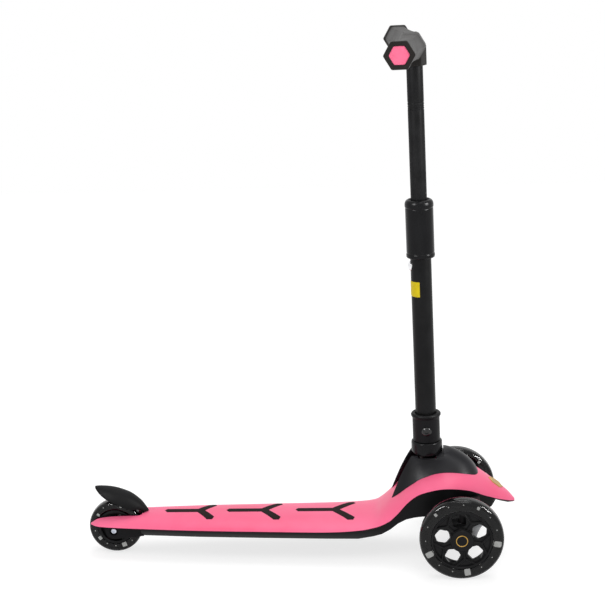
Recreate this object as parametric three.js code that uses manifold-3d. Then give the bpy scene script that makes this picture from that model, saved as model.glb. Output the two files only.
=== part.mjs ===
// Kids' three wheel scooter that steers by leaning its handlebar.
// Millimetres, +X towards the front wheels, +Y towards the rider's left, +Z up.
// The pieces are placed from the middle of the front axle line on the ground,
// and the finished scooter is then centred over its own outline.
import * as THREE from 'three';
import { mergeVertices } from 'three/addons/utils/BufferGeometryUtils.js';
import Module from 'manifold-3d';

const wasm = await Module();
wasm.setup();

// Fits
const gap = 0.3;
const runningGap = 1.2;
const overrun = 20;
const weldDistance = 0.0001;
const shortestEdge = 0.05;
const facets = { tyre: 28, wheel: 22, tube: 16, pin: 10, screw: 8 };

// Wheels
const wheelbase = 511.7;
const track = 211.8;
const frontWheelRadius = 60;
const frontCoreRadius = 44;
const rearWheelRadius = 40;
const rearCoreRadius = 27;
const tyreWidth = 24;
const axleRadius = 4;
const bearingRadius = 11;
const bearingWidth = 7;

// Deck
const deckWidth = 114;
const deckTop = 61.5;
const deckEdge = 48;
const deckBottom = 32.5;
const saddleTop = 134;
const archEdge = 116;
const shellWall = 3;
const trayWall = 3;
const wheelSlotWidth = 30.6;

// Steering
const leanPivotHeight = 100;
const leanPivotBehind = 44.2;
const leverLength = 36;
const kingpinAhead = 14;
const kingpinSpacing = 144;
const steeringArm = 36;
const rakeAngle = 0.022;
const leanLimit = THREE.MathUtils.degToRad(10);

// Column, heights measured along it from the lean pivot
const lowerTubeRadius = 15;
const upperTubeRadius = 11.5;
const tubeWall = 1.8;
const socketRadius = 19.8;
const collarRadius = 22.3;
const sleeveRadius = 20.5;
const footHeight = 55;
const collarSkirt = 6;
const collarTopHeight = 72;
const socketTopHeight = 114;
const sleeveBottomHeight = 344.5;
const sleeveTopHeight = 428.5;
const buttonHeight = 332;
const upperTubeTail = 60;
const upperTubeBottomHeight = buttonHeight - upperTubeTail;
const gripHeight = 643;
const headDepth = 27;
const headBottomHeight = gripHeight - headDepth;
const heightSteps = 3;
const heightStep = 50;

// Handlebar
const barWidth = 262;
const hexRadius = 21.6;
const gripRadius = 17.9;
const gripSweep = 17.3;
const headSetback = 4;
const headHalfWidth = 17.5;

// Brake
const brakeHingeAhead = 48.7;
const brakeHingeHeight = 49;
const fenderWall = 2.6;

// Shared places
const side = { right: -1, left: 1 };
const tyreMiddle = track / 2;
const rearAxleX = -wheelbase;
const kingpinY = kingpinSpacing / 2;
const tieRodHeight = leanPivotHeight - leverLength;
const deckHalf = deckWidth / 2;

const colour = {
  shell: 0xf76f98,
  black: 0x17181a,
  gloss: 0x0d0e10,
  tube: 0x202123,
  grip: 0x3a3937,
  tyre: 0x1c1d1f,
  steel: 0xb9bcc0,
  chrome: 0xd8dadd,
  gold: 0xb89a4a,
  patch: 0xf2d21c,
  rubber: 0x2b2a29,
};

const scooter = new THREE.Group();
scooter.name = 'scooter';

// Solids

function weld(geometry) {
  const bare = geometry.clone();
  bare.deleteAttribute('normal');
  bare.deleteAttribute('uv');
  const merged = mergeVertices(bare, weldDistance);
  const index = merged.index.array;
  const kept = [];
  for (let i = 0; i < index.length; i += 3) {
    const [a, b, c] = [index[i], index[i + 1], index[i + 2]];
    if (a !== b && b !== c && c !== a) kept.push(a, b, c);
  }
  merged.setIndex(kept);
  return merged;
}

function toSolid(geometry) {
  const welded = weld(geometry);
  const vertProperties = new Float32Array(welded.getAttribute('position').array);
  const triVerts = new Uint32Array(welded.index.array);
  return new wasm.Manifold(new wasm.Mesh({ numProp: 3, vertProperties, triVerts }));
}

// Closes the edges too short to matter that a cut leaves where two surfaces almost meet.
function withoutShortEdges({ vertProperties, triVerts }) {
  const merged = Array.from({ length: vertProperties.length / 3 }, (_, i) => i);
  const home = (i) => (merged[i] === i ? i : home(merged[i]));
  const place = (i) => new THREE.Vector3().fromArray(vertProperties, 3 * i);
  for (let i = 0; i < triVerts.length; i += 1) {
    const next = i % 3 === 2 ? i - 2 : i + 1;
    const [a, b] = [home(triVerts[i]), home(triVerts[next])];
    if (a !== b && place(a).distanceTo(place(b)) < shortestEdge) merged[a] = b;
  }
  const kept = [];
  for (let i = 0; i < triVerts.length; i += 3) {
    const [a, b, c] = [home(triVerts[i]), home(triVerts[i + 1]), home(triVerts[i + 2])];
    if (a !== b && b !== c && c !== a) kept.push(a, b, c);
  }
  return kept;
}

function toGeometry(solid) {
  const mesh = solid.getMesh();
  const geometry = new THREE.BufferGeometry();
  geometry.setAttribute('position', new THREE.BufferAttribute(mesh.vertProperties, mesh.numProp));
  geometry.setIndex(withoutShortEdges(mesh));
  const flat = geometry.toNonIndexed();
  flat.computeVertexNormals();
  return flat;
}

function join(first, ...others) {
  return others.reduce((sum, solid) => sum.add(solid), first);
}

function cut(body, ...tools) {
  return tools.reduce((left, tool) => left.subtract(tool), body);
}

function rising(a, b) {
  return a < b ? [a, b] : [b, a];
}

// A box between two limits along each axis, given in either order.
function block([x0, x1], [y0, y1], [z0, z1]) {
  const box = new THREE.BoxGeometry(Math.abs(x1 - x0), Math.abs(y1 - y0), Math.abs(z1 - z0));
  box.translate((x0 + x1) / 2, (y0 + y1) / 2, (z0 + z1) / 2);
  return toSolid(box);
}

// Turns a shape made about the Y axis onto the named axis.
function along(axis, geometry) {
  if (axis === 'x') geometry.rotateZ(-Math.PI / 2);
  if (axis === 'z') geometry.rotateX(Math.PI / 2);
  return geometry;
}

// A profile of [radius, distance along the axis] pairs, outside first and rising, turned once round.
function turned(axis, profile, sides, centre = [0, 0, 0]) {
  const points = profile.map(([radius, height]) => new THREE.Vector2(radius, height));
  const geometry = along(axis, new THREE.LatheGeometry(points, sides));
  geometry.translate(...centre);
  return toSolid(geometry);
}

function rod(axis, radius, [from, to], centre, sides = facets.pin) {
  return turned(axis, [[0, from], [radius, from], [radius, to], [0, to]], sides, centre);
}

function tube(axis, outer, inner, [from, to], centre, sides = facets.tube) {
  const wall = [[outer, from], [outer, to], [inner, to], [inner, from], [outer, from]];
  return turned(axis, wall, sides, centre);
}

// A solid through closed rings of equally many points, with flat fans on both ends.
function loft(rings) {
  const count = rings[0].length;
  const positions = rings.flat().flatMap((point) => point.toArray());
  const index = [];
  for (let r = 0; r + 1 < rings.length; r += 1) {
    for (let i = 0; i < count; i += 1) {
      const next = (i + 1) % count;
      const [a, b] = [r * count + i, r * count + next];
      index.push(a, b, b + count, a, b + count, a + count);
    }
  }
  const ends = [rings[0], rings[rings.length - 1]];
  ends.forEach((ring, end) => {
    const centre = ring.reduce((sum, point) => sum.add(point), new THREE.Vector3()).divideScalar(count);
    const hub = positions.length / 3;
    positions.push(...centre.toArray());
    const start = end * (rings.length - 1) * count;
    for (let i = 0; i < count; i += 1) {
      const next = (i + 1) % count;
      if (end === 0) index.push(hub, start + next, start + i);
      else index.push(hub, start + i, start + next);
    }
  });
  const geometry = new THREE.BufferGeometry();
  geometry.setAttribute('position', new THREE.Float32BufferAttribute(positions, 3));
  geometry.setIndex(index);
  return toSolid(geometry);
}

// A flat outline in X and Z, given as [x, z] pairs counterclockwise seen from -Y, between two y.
function plateXZ(outline, [y0, y1]) {
  const shape = new THREE.Shape(outline.map(([x, z]) => new THREE.Vector2(x, z)));
  const geometry = new THREE.ExtrudeGeometry(shape, { depth: y1 - y0, bevelEnabled: false });
  geometry.rotateX(Math.PI / 2);
  geometry.translate(0, y1, 0);
  return toSolid(geometry);
}

// A flat outline in X and Y between two z.
function plateXY(shape, [z0, z1], curveSegments = 8) {
  const geometry = new THREE.ExtrudeGeometry(shape, { depth: z1 - z0, bevelEnabled: false, curveSegments });
  geometry.translate(0, 0, z0);
  return toSolid(geometry);
}

function polygon(sides, radius, turn = 0) {
  return Array.from({ length: sides }, (_, i) => {
    const angle = turn + (i * 2 * Math.PI) / sides;
    return [radius * Math.cos(angle), radius * Math.sin(angle)];
  });
}

function shapeOf(points) {
  return new THREE.Shape(points.map(([x, y]) => new THREE.Vector2(x, y)));
}

function addPiece(name, solid, look, parent = scooter) {
  const material = new THREE.MeshStandardMaterial({
    color: look.color,
    roughness: look.roughness ?? 0.5,
    metalness: look.metalness ?? 0,
  });
  const mesh = new THREE.Mesh(toGeometry(solid), material);
  mesh.name = name;
  parent.add(mesh);
  return mesh;
}

const look = {
  shell: { color: colour.shell, roughness: 0.35 },
  black: { color: colour.black, roughness: 0.55 },
  gloss: { color: colour.gloss, roughness: 0.15 },
  tube: { color: colour.tube, roughness: 0.4, metalness: 0.3 },
  grip: { color: colour.grip, roughness: 0.8 },
  tyre: { color: colour.tyre, roughness: 0.1 },
  steel: { color: colour.steel, roughness: 0.3, metalness: 1 },
  chrome: { color: colour.chrome, roughness: 0.1, metalness: 1 },
  gold: { color: colour.gold, roughness: 0.3, metalness: 1 },
  patch: { color: colour.patch, roughness: 0.5 },
  rubber: { color: colour.rubber, roughness: 0.9 },
};

// Deck form
// Each row of shares is one cross-section: its place along the wheelbase, half width, crown height
// between deck and saddle, edge height between deck and wheel arch, tray floor height between deck
// and arch, and how far the tray's side leans in.
const deckShares = [
  [-1.069, 0.33, -0.145, 0.007, 0.0, 0.6],
  [-1.046, 0.5, -0.055, 0.007, 0.0, 0.7],
  [-1.0, 0.57, -0.014, 0.0, 0.0, 0.8],
  [-0.915, 0.645, 0, -0.007, 0, 0.9],
  [-0.75, 0.807, 0, 0, 0, 1],
  [-0.565, 0.904, 0, 0, 0, 1],
  [-0.38, 0.982, 0, 0.004, 0, 1],
  [-0.289, 1, 0, 0.044, 0, 1],
  [-0.244, 0.982, 0.021, 0.1, 0.06, 0.75],
  [-0.221, 0.974, 0.11, 0.154, 0.115, 0.5],
  [-0.197, 0.965, 0.276, 0.25, 0.21, 0.3],
  [-0.175, 0.982, 0.448, 0.419, 0.33, 0.22],
  [-0.152, 1.009, 0.628, 0.632, 0.413, 0.2],
  [-0.129, 1.035, 0.779, 0.794, 0.455, 0.2],
  [-0.106, 1.061, 0.89, 0.893, 0.479, 0.2],
  [-0.061, 1.105, 0.993, 0.993, 0.497, 0.2],
  [-0.018, 1.088, 1, 1, 0.503, 0.2],
  [0.028, 0.956, 0.924, 0.919, 0.509, 0.2],
  [0.072, 0.719, 0.745, 0.735, 0.521, 0.2],
  [0.092, 0.61, 0.648, 0.66, 0.539, 0.22],
  [0.104, 0.54, 0.59, 0.611, 0.645, 0.26],
  [0.117, 0.456, 0.517, 0.563, 0.599, 0.28],
  [0.141, 0.272, 0.379, 0.476, 0.52, 0.28],
  [0.154, 0.14, 0.283, 0.426, 0.498, 0.2],
  [0.1614, 0.061, 0.221, 0.404, 0.494, 0.1],
];
const traySideLean = 14;
const crownPower = 2.6;
const crownRound = 0.8;
const crownPoints = 8;
const deckSections = deckShares.length;

const deckPlanLine = new THREE.CatmullRomCurve3(
  deckShares.map(([x, width, , , , lean]) => new THREE.Vector3(
    x * wheelbase, width * deckHalf, lean * traySideLean)),
  false, 'catmullrom', 1 / 2);
const deckHeightLine = new THREE.CatmullRomCurve3(
  deckShares.map(([, , top, edge, bottom]) => new THREE.Vector3(
    deckTop + top * (saddleTop - deckTop),
    deckEdge + edge * (archEdge - deckEdge),
    deckBottom + bottom * (archEdge - deckBottom))),
  false, 'catmullrom', 1 / 2);

const stations = Array.from({ length: deckSections }, (_, i) => {
  const plan = deckPlanLine.getPoint(i / (deckSections - 1));
  const heights = deckHeightLine.getPoint(i / (deckSections - 1));
  return { x: plan.x, half: plan.y, lean: plan.z, top: heights.x, edge: heights.y, bottom: heights.z };
});

// The cross-section at a place x, straight between the two stations beside it.
function deckAt(x) {
  const after = stations.findIndex((station) => station.x >= x);
  if (after <= 0) return { ...stations[after === 0 ? 0 : deckSections - 1], x };
  const [low, high] = [stations[after - 1], stations[after]];
  const share = (x - low.x) / (high.x - low.x);
  const mixed = Object.keys(low).map((key) => [key, low[key] + share * (high[key] - low[key])]);
  return Object.fromEntries(mixed);
}

function stationsBetween(fromX, toX) {
  const inside = stations.filter(({ x }) => x > fromX + gap && x < toX - gap);
  return [deckAt(fromX), ...inside, deckAt(toX)];
}

function crownRise(share) {
  return (1 - Math.abs(share) ** crownPower) ** crownRound;
}

function deckHeightAt(x, y) {
  const { half, top, edge } = deckAt(x);
  return edge + (top - edge) * crownRise(y / half);
}

const noseX = stations[deckSections - 1].x;
const deckTailX = stations[0].x;
const tailX = rearAxleX - rearWheelRadius;

// The crowned top of the deck, moved in by an inset, down to a floor below its edges.
function deckBody({ inset = 0, below = 0, fromX = deckTailX, toX = noseX }) {
  return loft(stationsBetween(fromX, toX).map(({ x, half, top, edge }) => {
    const width = Math.max(half - inset, gap);
    const crown = Math.max(top - inset, edge + gap);
    const ring = Array.from({ length: crownPoints + 1 }, (_, i) => {
      const t = Math.sin((i / crownPoints - 1 / 2) * Math.PI);
      return new THREE.Vector3(x, -width * t, edge + (crown - edge) * crownRise(t));
    });
    if (below > 0) {
      ring.push(new THREE.Vector3(x, -width, edge - below), new THREE.Vector3(x, width, edge - below));
    }
    return ring;
  }));
}

// The tray's outer form, moved in by an inset, up to a height above its rim.
function trayBody({ inset = 0, above = 0, fromX, toX }) {
  return loft(stationsBetween(fromX, toX).map(({ x, half, edge, bottom, lean }) => {
    const rim = Math.max(half - inset, gap);
    const floor = Math.max(half - lean - inset, gap);
    const low = Math.min(bottom + inset, edge - gap);
    const chine = (edge - low) / 3;
    const rimHeight = edge - gap + above;
    return [
      new THREE.Vector3(x, rim, rimHeight),
      new THREE.Vector3(x, -rim, rimHeight),
      new THREE.Vector3(x, -rim + lean / 6, low + 2 * chine),
      new THREE.Vector3(x, -floor, low),
      new THREE.Vector3(x, floor, low),
      new THREE.Vector3(x, rim - lean / 6, low + 2 * chine),
    ];
  }));
}

// Deck shell, with the wheel slot, the column opening, the inlay recesses and the screw bosses
const slotRoom = 4;
const slotFront = rearAxleX + rearWheelRadius + slotRoom;
const cavityBack = slotFront - shellWall;
const noseLip = 12;
const openingReach = { back: 27, front: 30, half: 21 };
const columnOpening = {
  back: -leanPivotBehind - openingReach.back,
  front: openingReach.front - leanPivotBehind,
};
const screwPlaceShares = { rear: -0.8, front: -0.36 };
const screwRadius = 2;
const screwHeadRadius = 4.2;
const screwHeadHeight = 2.4;
const screwSeatDepth = 3.6;
const bossRadius = 5;
const pillarHeight = 8;

const inlayStroke = 12.4;
const inlayDepth = 1.4;
const inlayProud = 0.4;
const inlays = [
  { name: 'grip_inlay_rear', stemEndShare: -0.859, forkShare: -0.752, tipShare: -0.708, width: 56 },
  { name: 'grip_inlay_middle', stemEndShare: -0.678, forkShare: -0.566, tipShare: -0.514, width: 62 },
  { name: 'grip_inlay_front', stemEndShare: -0.476, forkShare: -0.359, tipShare: -0.3, width: 68 },
];

// A bar with pointed ends, the outline of one limb of an inlay.
function limb([x0, y0], [x1, y1], width) {
  const length = Math.hypot(x1 - x0, y1 - y0);
  const [ux, uy] = [(x1 - x0) / length, (y1 - y0) / length];
  const half = width / 2;
  const point = width / 3;
  const at = (forward, across) => [x0 + ux * forward - uy * across, y0 + uy * forward + ux * across];
  return shapeOf([at(-point, 0), at(0, -half), at(length, -half), at(length + point, 0),
    at(length, half), at(0, half)]);
}

// A stem and two arms, the arms cut off along the length of the deck at the inlay's full width
function inlayPrism({ stemEndShare, forkShare, tipShare, width }, margin) {
  const stroke = inlayStroke + 2 * margin;
  const half = width / 2 + margin;
  const tall = [deckEdge, deckTop + overrun];
  const fork = [forkShare * wheelbase, 0];
  const tip = tipShare * wheelbase - inlayStroke / 3;
  const reach = (width - inlayStroke / 2) / 2;
  const arms = [-1, 1].map((hand) => plateXY(limb(fork, [tip, hand * reach], stroke), tall));
  const stem = plateXY(limb([stemEndShare * wheelbase + inlayStroke / 2, 0], fork, stroke), tall);
  const length = [stemEndShare * wheelbase - overrun, tipShare * wheelbase + overrun];
  return join(stem, ...arms).intersect(block(length, [-half, half], tall));
}

function makeDeckShell() {
  const outer = deckBody({});
  const cavity = deckBody({ inset: shellWall, below: overrun, fromX: cavityBack, toX: noseX - noseLip });
  const wheelSlot = join(
    block([tailX - overrun, rearAxleX + rearWheelRadius + runningGap],
      [-wheelSlotWidth / 2, wheelSlotWidth / 2], [0, saddleTop]),
    block([tailX, slotFront], [-wheelSlotWidth / 4, wheelSlotWidth / 4], [0, saddleTop]));
  const opening = block([columnOpening.back, columnOpening.front], [-openingReach.half, openingReach.half],
    [deckTop, saddleTop + overrun]);
  let shell = cut(outer, cavity, wheelSlot, opening);
  const under = deckBody({ inset: shellWall / 2, below: overrun });
  Object.values(screwPlaceShares).forEach((share) => {
    const centre = [share * wheelbase, 0, 0];
    const boss = rod('z', bossRadius, [deckBottom + pillarHeight + gap, saddleTop], centre).intersect(under);
    const bore = rod('z', screwRadius + gap, [0, deckTop - 2 * shellWall], centre, facets.screw);
    shell = cut(join(shell, boss), bore);
  });
  const recessFloor = deckBody({ inset: inlayDepth, below: overrun });
  const recesses = inlays.map((inlay) => cut(inlayPrism(inlay, gap), recessFloor));
  return cut(shell, ...recesses, badgeSeat());
}

function makeInlay(inlay) {
  const outer = deckBody({ inset: -inlayProud, below: overrun });
  const floor = deckBody({ inset: inlayDepth - gap, below: overrun });
  return cut(inlayPrism(inlay, 0).intersect(outer), floor);
}

// Nose badge, a plain six-sided plate let into the shell
const badge = { x: 55, length: 26, width: 20, thickness: 1.6, proud: 0.8 };
const badgeSlope = Math.atan2(
  deckHeightAt(badge.x - badge.length / 2, 0) - deckHeightAt(badge.x + badge.length / 2, 0), badge.length);

function badgePlate(margin, [low, high]) {
  const outline = polygon(6, 1).map(([x, y]) => [
    x * (badge.length / 2 + margin), y * (badge.width / 2 + margin) / Math.sin(Math.PI / 3)]);
  const geometry = new THREE.ExtrudeGeometry(shapeOf(outline), { depth: high - low, bevelEnabled: false });
  geometry.translate(0, 0, low);
  geometry.rotateY(badgeSlope);
  geometry.translate(badge.x, 0, deckHeightAt(badge.x, 0));
  return toSolid(geometry);
}

function badgeSeat() {
  return badgePlate(gap, [badge.proud - badge.thickness - gap, overrun]);
}

// Tray, with the front chassis arms that hold the kingpins and the rear arms that hold the axle
const trayBack = rearAxleX + rearWheelRadius + 2;
const trayNose = 30;
const kingpinTower = { radius: 18, topRadius: 14, bottom: 72.4, top: 104 };
const kingpinRadius = 4;
const kingpinHeadRadius = 7;
const knuckleBottom = 46;
const rearArm = { outer: 27, radius: 12.5, below: 1.3 };
const pivotBlock = { width: 26, thickness: 7, above: 8 };
const hubHalfLength = 20;
const pinRadius = 4;
const leverSlot = { length: 22, half: 17 };
const boltRecessRadius = 6.5;
const axleHeadThickness = 3;
const axleHeadRadius = 4.4;
const rearAxleRadius = 3;

function makeTray() {
  const outer = trayBody({ fromX: trayBack, toX: noseX - gap });
  const hollow = trayBody({
    inset: trayWall, above: overrun, fromX: trayBack + trayWall, toX: noseX - trayNose });
  let tray = cut(outer, hollow);
  const slot = block([-leanPivotBehind - leverSlot.length / 2, -leanPivotBehind + leverSlot.length / 2],
    [-leverSlot.half, leverSlot.half], [0, leanPivotHeight]);
  const floorHeight = deckAt(-leanPivotBehind).bottom;
  const pivotBlocks = [-1, 1].map((hand) => {
    const near = -leanPivotBehind + hand * (hubHalfLength + gap);
    const limits = [near, near + hand * pivotBlock.thickness];
    const half = pivotBlock.width / 2;
    const body = join(
      block(limits, [-half, half], [floorHeight, leanPivotHeight]),
      rod('x', pivotBlock.above, [Math.min(...limits), Math.max(...limits)], [0, 0, leanPivotHeight]));
    return body;
  });
  const pinBore = rod('x', pinRadius + gap, [-leanPivotBehind - 2 * overrun, -leanPivotBehind + 2 * overrun],
    [0, 0, leanPivotHeight]);
  tray = cut(join(tray, ...pivotBlocks), slot, pinBore);
  [-1, 1].forEach((hand) => {
    const { half, edge } = deckAt(kingpinAhead);
    const arm = block([kingpinAhead - kingpinTower.topRadius, kingpinAhead + kingpinTower.topRadius],
      [hand * (half - 2 * trayWall), hand * kingpinY], [kingpinTower.bottom + trayWall, edge - 3 * trayWall]);
    const { radius, topRadius, bottom, top } = kingpinTower;
    const tower = turned('z', [[0, bottom], [radius, bottom], [topRadius, top - trayWall],
      [topRadius - trayWall, top], [0, top]], facets.tube, [kingpinAhead, hand * kingpinY, 0]);
    const bore = rod('z', kingpinRadius + gap, [0, kingpinTower.top - 2 * trayWall],
      [kingpinAhead, hand * kingpinY, 0]);
    tray = cut(join(tray, arm, tower), bore);
    tray = join(tray, makeRearArm(hand));
  });
  Object.values(screwPlaceShares).forEach((share) => {
    const centre = [share * wheelbase, 0, 0];
    const pillar = rod('z', screwHeadRadius + trayWall, [deckBottom, deckBottom + pillarHeight], centre);
    const bore = rod('z', screwRadius + gap, [0, deckTop - 2 * shellWall], centre, facets.screw);
    const head = rod('z', screwHeadRadius + gap, [0, deckBottom + screwSeatDepth], centre);
    tray = cut(join(tray, pillar), bore, head);
  });
  const hingeBore = rod('y', hingePinRadius + gap, [-hingePinHalf - gap, hingePinHalf + gap],
    [hingeX, 0, brakeHingeHeight]);
  const hingeNotch = block([trayBack - overrun, trayBack + trayWall + gap],
    [-hingeBarrelHalf - gap, hingeBarrelHalf + gap],
    [brakeHingeHeight - hingeBarrelRadius - runningGap, leanPivotHeight]);
  return cut(join(tray, ...hingeCheeks()), hingeBore, hingeNotch);
}

function makeRearArm(hand) {
  const inner = wheelSlotWidth / 2;
  const top = deckEdge - rearArm.below;
  const outline = [];
  const turns = 8;
  for (let i = 0; i <= turns; i += 1) {
    const angle = Math.PI / 2 + (i * Math.PI) / turns;
    outline.push([rearAxleX + rearArm.radius * Math.cos(angle),
      Math.min(rearWheelRadius + rearArm.radius * Math.sin(angle), top)]);
  }
  outline.push([trayBack + trayWall, deckBottom], [trayBack + trayWall, top]);
  const limits = hand < 0 ? [-rearArm.outer, -inner] : [inner, rearArm.outer];
  const boss = rod('y', 2 * rearAxleRadius, rising(hand * rearHub.half, hand * (inner + trayWall)),
    [rearAxleX, 0, rearWheelRadius]);
  const arm = join(plateXZ(outline, limits), boss);
  const bore = rod('y', rearAxleRadius + gap, [-2 * overrun, 2 * overrun], [rearAxleX, 0, rearWheelRadius]);
  const recessDepth = axleHeadThickness + gap;
  const recess = rod('y', boltRecessRadius,
    rising(hand * (rearArm.outer - recessDepth), hand * (rearArm.outer + overrun)),
    [rearAxleX, 0, rearWheelRadius]);
  return cut(arm, bore, recess);
}

// Brake
const hingeX = rearAxleX + brakeHingeAhead;
const hingePinRadius = 2;
const hingePinHalf = 11.5;
const hingeBarrelRadius = 4.5;
const hingeBarrelHalf = 7;
const cheekWidth = 4;

// Shares of the fender's length behind its front point, rise above its root, half width and side depth
const fender = { length: 79.5, root: 22.2, rise: 39.8, half: 20.5, depth: 16.5, ahead: 2, clearance: 1.5 };
const fenderShares = [
  [0, 0, 0.12, 0.12],
  [0.057, 0.158, 0.44, 0.3],
  [0.132, 0.36, 0.756, 0.7],
  [0.226, 0.535, 0.927, 1],
  [0.34, 0.7, 1, 1.1],
  [0.478, 0.82, 1, 1.05],
  [0.629, 0.915, 0.976, 0.97],
  [0.767, 0.965, 0.854, 0.8],
  [0.893, 0.99, 0.61, 0.5],
  [0.969, 0.998, 0.317, 0.24],
  [1, 1, 0.1, 0.12],
];
const fenderSteps = 14;
const fenderPoints = 6;
const brakePad = {
  half: 7,
  clearance: 2.7,
  from: THREE.MathUtils.degToRad(66),
  to: THREE.MathUtils.degToRad(109),
};
const brakeLug = { half: 5.5, width: 4.5, behind: 5.2, rise: 22, knee: 8 };

function hingeCheeks() {
  return [-1, 1].map((hand) => {
    const near = hand * (hingeBarrelHalf + gap);
    const limits = [near, near + hand * cheekWidth];
    return join(
      block([hingeX - hingeBarrelRadius, hingeX + hingeBarrelRadius], limits,
        [deckBottom + trayWall / 2, brakeHingeHeight]),
      rod('y', hingeBarrelRadius, [Math.min(...limits), Math.max(...limits)], [hingeX, 0, brakeHingeHeight]));
  });
}

function fenderBody(inset, ends = 0) {
  const line = new THREE.CatmullRomCurve3(fenderShares.map(([back, rise]) => new THREE.Vector3(
    hingeX + fender.ahead - back * fender.length, 0, rearWheelRadius + fender.root + rise * fender.rise)),
  false, 'catmullrom', 1 / 2);
  const sizes = new THREE.CatmullRomCurve3(fenderShares.map(([, , half, depth]) => new THREE.Vector3(
    half * fender.half, depth * fender.depth, 0)), false, 'catmullrom', 1 / 2);
  return loft(Array.from({ length: fenderSteps + 1 - 2 * ends }, (_, ring) => {
    const step = ring + ends;
    const place = line.getPoint(step / fenderSteps);
    const travel = line.getTangent(step / fenderSteps);
    const outward = new THREE.Vector3(travel.z, 0, -travel.x);
    const size = sizes.getPoint(step / fenderSteps);
    return Array.from({ length: fenderPoints + 1 }, (__, i) => {
      const t = Math.sin((i / fenderPoints - 1 / 2) * Math.PI);
      const fall = size.y * (1 - crownRise(t)) + inset;
      return place.clone().addScaledVector(outward, -fall)
        .add(new THREE.Vector3(0, Math.max(size.x - inset, gap) * t, 0));
    });
  }));
}

// The rib under the fender that rubs on the tyre, an arc about the rear axle
function brakeRib() {
  const shape = new THREE.Shape();
  shape.absarc(0, 0, rearWheelRadius + brakePad.clearance, brakePad.from, brakePad.to, false);
  shape.absarc(0, 0, rearWheelRadius + fender.rise, brakePad.to, brakePad.from, true);
  const geometry = new THREE.ExtrudeGeometry(shape,
    { depth: 2 * brakePad.half, bevelEnabled: false, curveSegments: 6 });
  geometry.rotateX(Math.PI / 2);
  geometry.translate(rearAxleX, brakePad.half, rearWheelRadius);
  return toSolid(geometry);
}

function makeFender() {
  const outer = fenderBody(0);
  const skin = cut(outer, fenderBody(fenderWall, 1));
  const lugX = hingeX - brakeLug.behind;
  const lug = plateXZ([
    [hingeX - hingeBarrelRadius / 2, brakeHingeHeight - hingeBarrelRadius / 2],
    [hingeX + hingeBarrelRadius / 2, brakeHingeHeight + hingeBarrelRadius / 3],
    [lugX, brakeHingeHeight + brakeLug.knee],
    [lugX, brakeHingeHeight + brakeLug.rise],
    [lugX - brakeLug.width, brakeHingeHeight + brakeLug.rise],
    [lugX - brakeLug.width, brakeHingeHeight + brakeLug.knee],
  ], [-brakeLug.half, brakeLug.half]);
  const barrel = rod('y', hingeBarrelRadius, [-hingeBarrelHalf, hingeBarrelHalf],
    [hingeX, 0, brakeHingeHeight]);
  const bore = rod('y', hingePinRadius + gap, [-overrun, overrun], [hingeX, 0, brakeHingeHeight],
    facets.screw);
  const springGap = block([hingeX - 2 * hingeBarrelRadius, hingeX + 2 * hingeBarrelRadius],
    [-brakeSpring.room / 2, brakeSpring.room / 2],
    [brakeHingeHeight - 2 * hingeBarrelRadius, brakeHingeHeight + brakeLug.knee - gap]);
  const covered = cut(join(skin, brakeRib().intersect(outer)), deckBody({ inset: -fender.clearance }));
  return join(covered, cut(lug, springGap), cut(barrel, springGap)).subtract(bore);
}

// A coil about an axis, one unbroken tube of round wire
const coilSteps = 8;
const coilSides = 4;

function coil(axis, { radius, wire, turns, pitch }, centre) {
  const count = turns * coilSteps;
  const points = Array.from({ length: count + 1 }, (_, i) => {
    const angle = (i * 2 * Math.PI) / coilSteps;
    const climb = (i / count - 1 / 2) * turns * pitch;
    return new THREE.Vector3(radius * Math.cos(angle), climb, radius * Math.sin(angle));
  });
  const section = shapeOf(polygon(coilSides, wire / 2));
  const geometry = new THREE.ExtrudeGeometry(section,
    { steps: count, extrudePath: new THREE.CatmullRomCurve3(points), bevelEnabled: false });
  along(axis, geometry).translate(...centre);
  return toSolid(geometry);
}

const brakeSpring = { radius: 3.1, wire: 1, turns: 3, pitch: 1.3, room: 5.6 };

// Cowl over the foot of the column, a hollow saddle with a trough that the collar leans in
const cowlWall = 2.6;
const troughClearance = 1.4;
const cowlTop = 158;
const cowlBase = { front: 29, back: -101, half: 34.5 };
const cowlCrest = { front: -12, back: -69.5, half: 24 };
const cowlWidestX = -30;
const cowlSag = 9;
const cowlPoints = 20;
const cowlLevelShares = [-0.25, 0, 0.25, 0.5, 0.75, 0.93, 1];
const cowlBulge = { front: 1.35, back: 0.9, side: 1.7 };
const cowlPoint = { front: 0.1, back: 0.275 };
const archHalf = 14;
const archHeight = 120;
const stemRadius = 11;
const stemSlot = stemRadius + runningGap + footHeight * Math.sin(leanLimit);

function cowlRing(level, inset) {
  const front = THREE.MathUtils.lerp(cowlBase.front, cowlCrest.front, level ** cowlBulge.front) - inset;
  const back = THREE.MathUtils.lerp(cowlBase.back, cowlCrest.back, level ** cowlBulge.back) + inset;
  const fullness = 1 - (1 - level) ** cowlBulge.side;
  const half = THREE.MathUtils.lerp(cowlBase.half, cowlCrest.half, fullness) - inset;
  const middle = THREE.MathUtils.lerp(cowlWidestX, -leanPivotBehind, level);
  return Array.from({ length: cowlPoints }, (_, i) => {
    const angle = (i * 2 * Math.PI) / cowlPoints;
    const [ahead, across] = [Math.cos(angle), Math.sin(angle)];
    const reach = ahead > 0 ? front - middle : middle - back;
    const sharpness = 1 + (1 - level) * (ahead > 0 ? cowlPoint.front : cowlPoint.back);
    return [
      middle + Math.sign(ahead) * reach * Math.abs(ahead) ** (1 / sharpness),
      half * Math.sign(across) * Math.abs(across) ** sharpness,
    ];
  });
}

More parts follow.
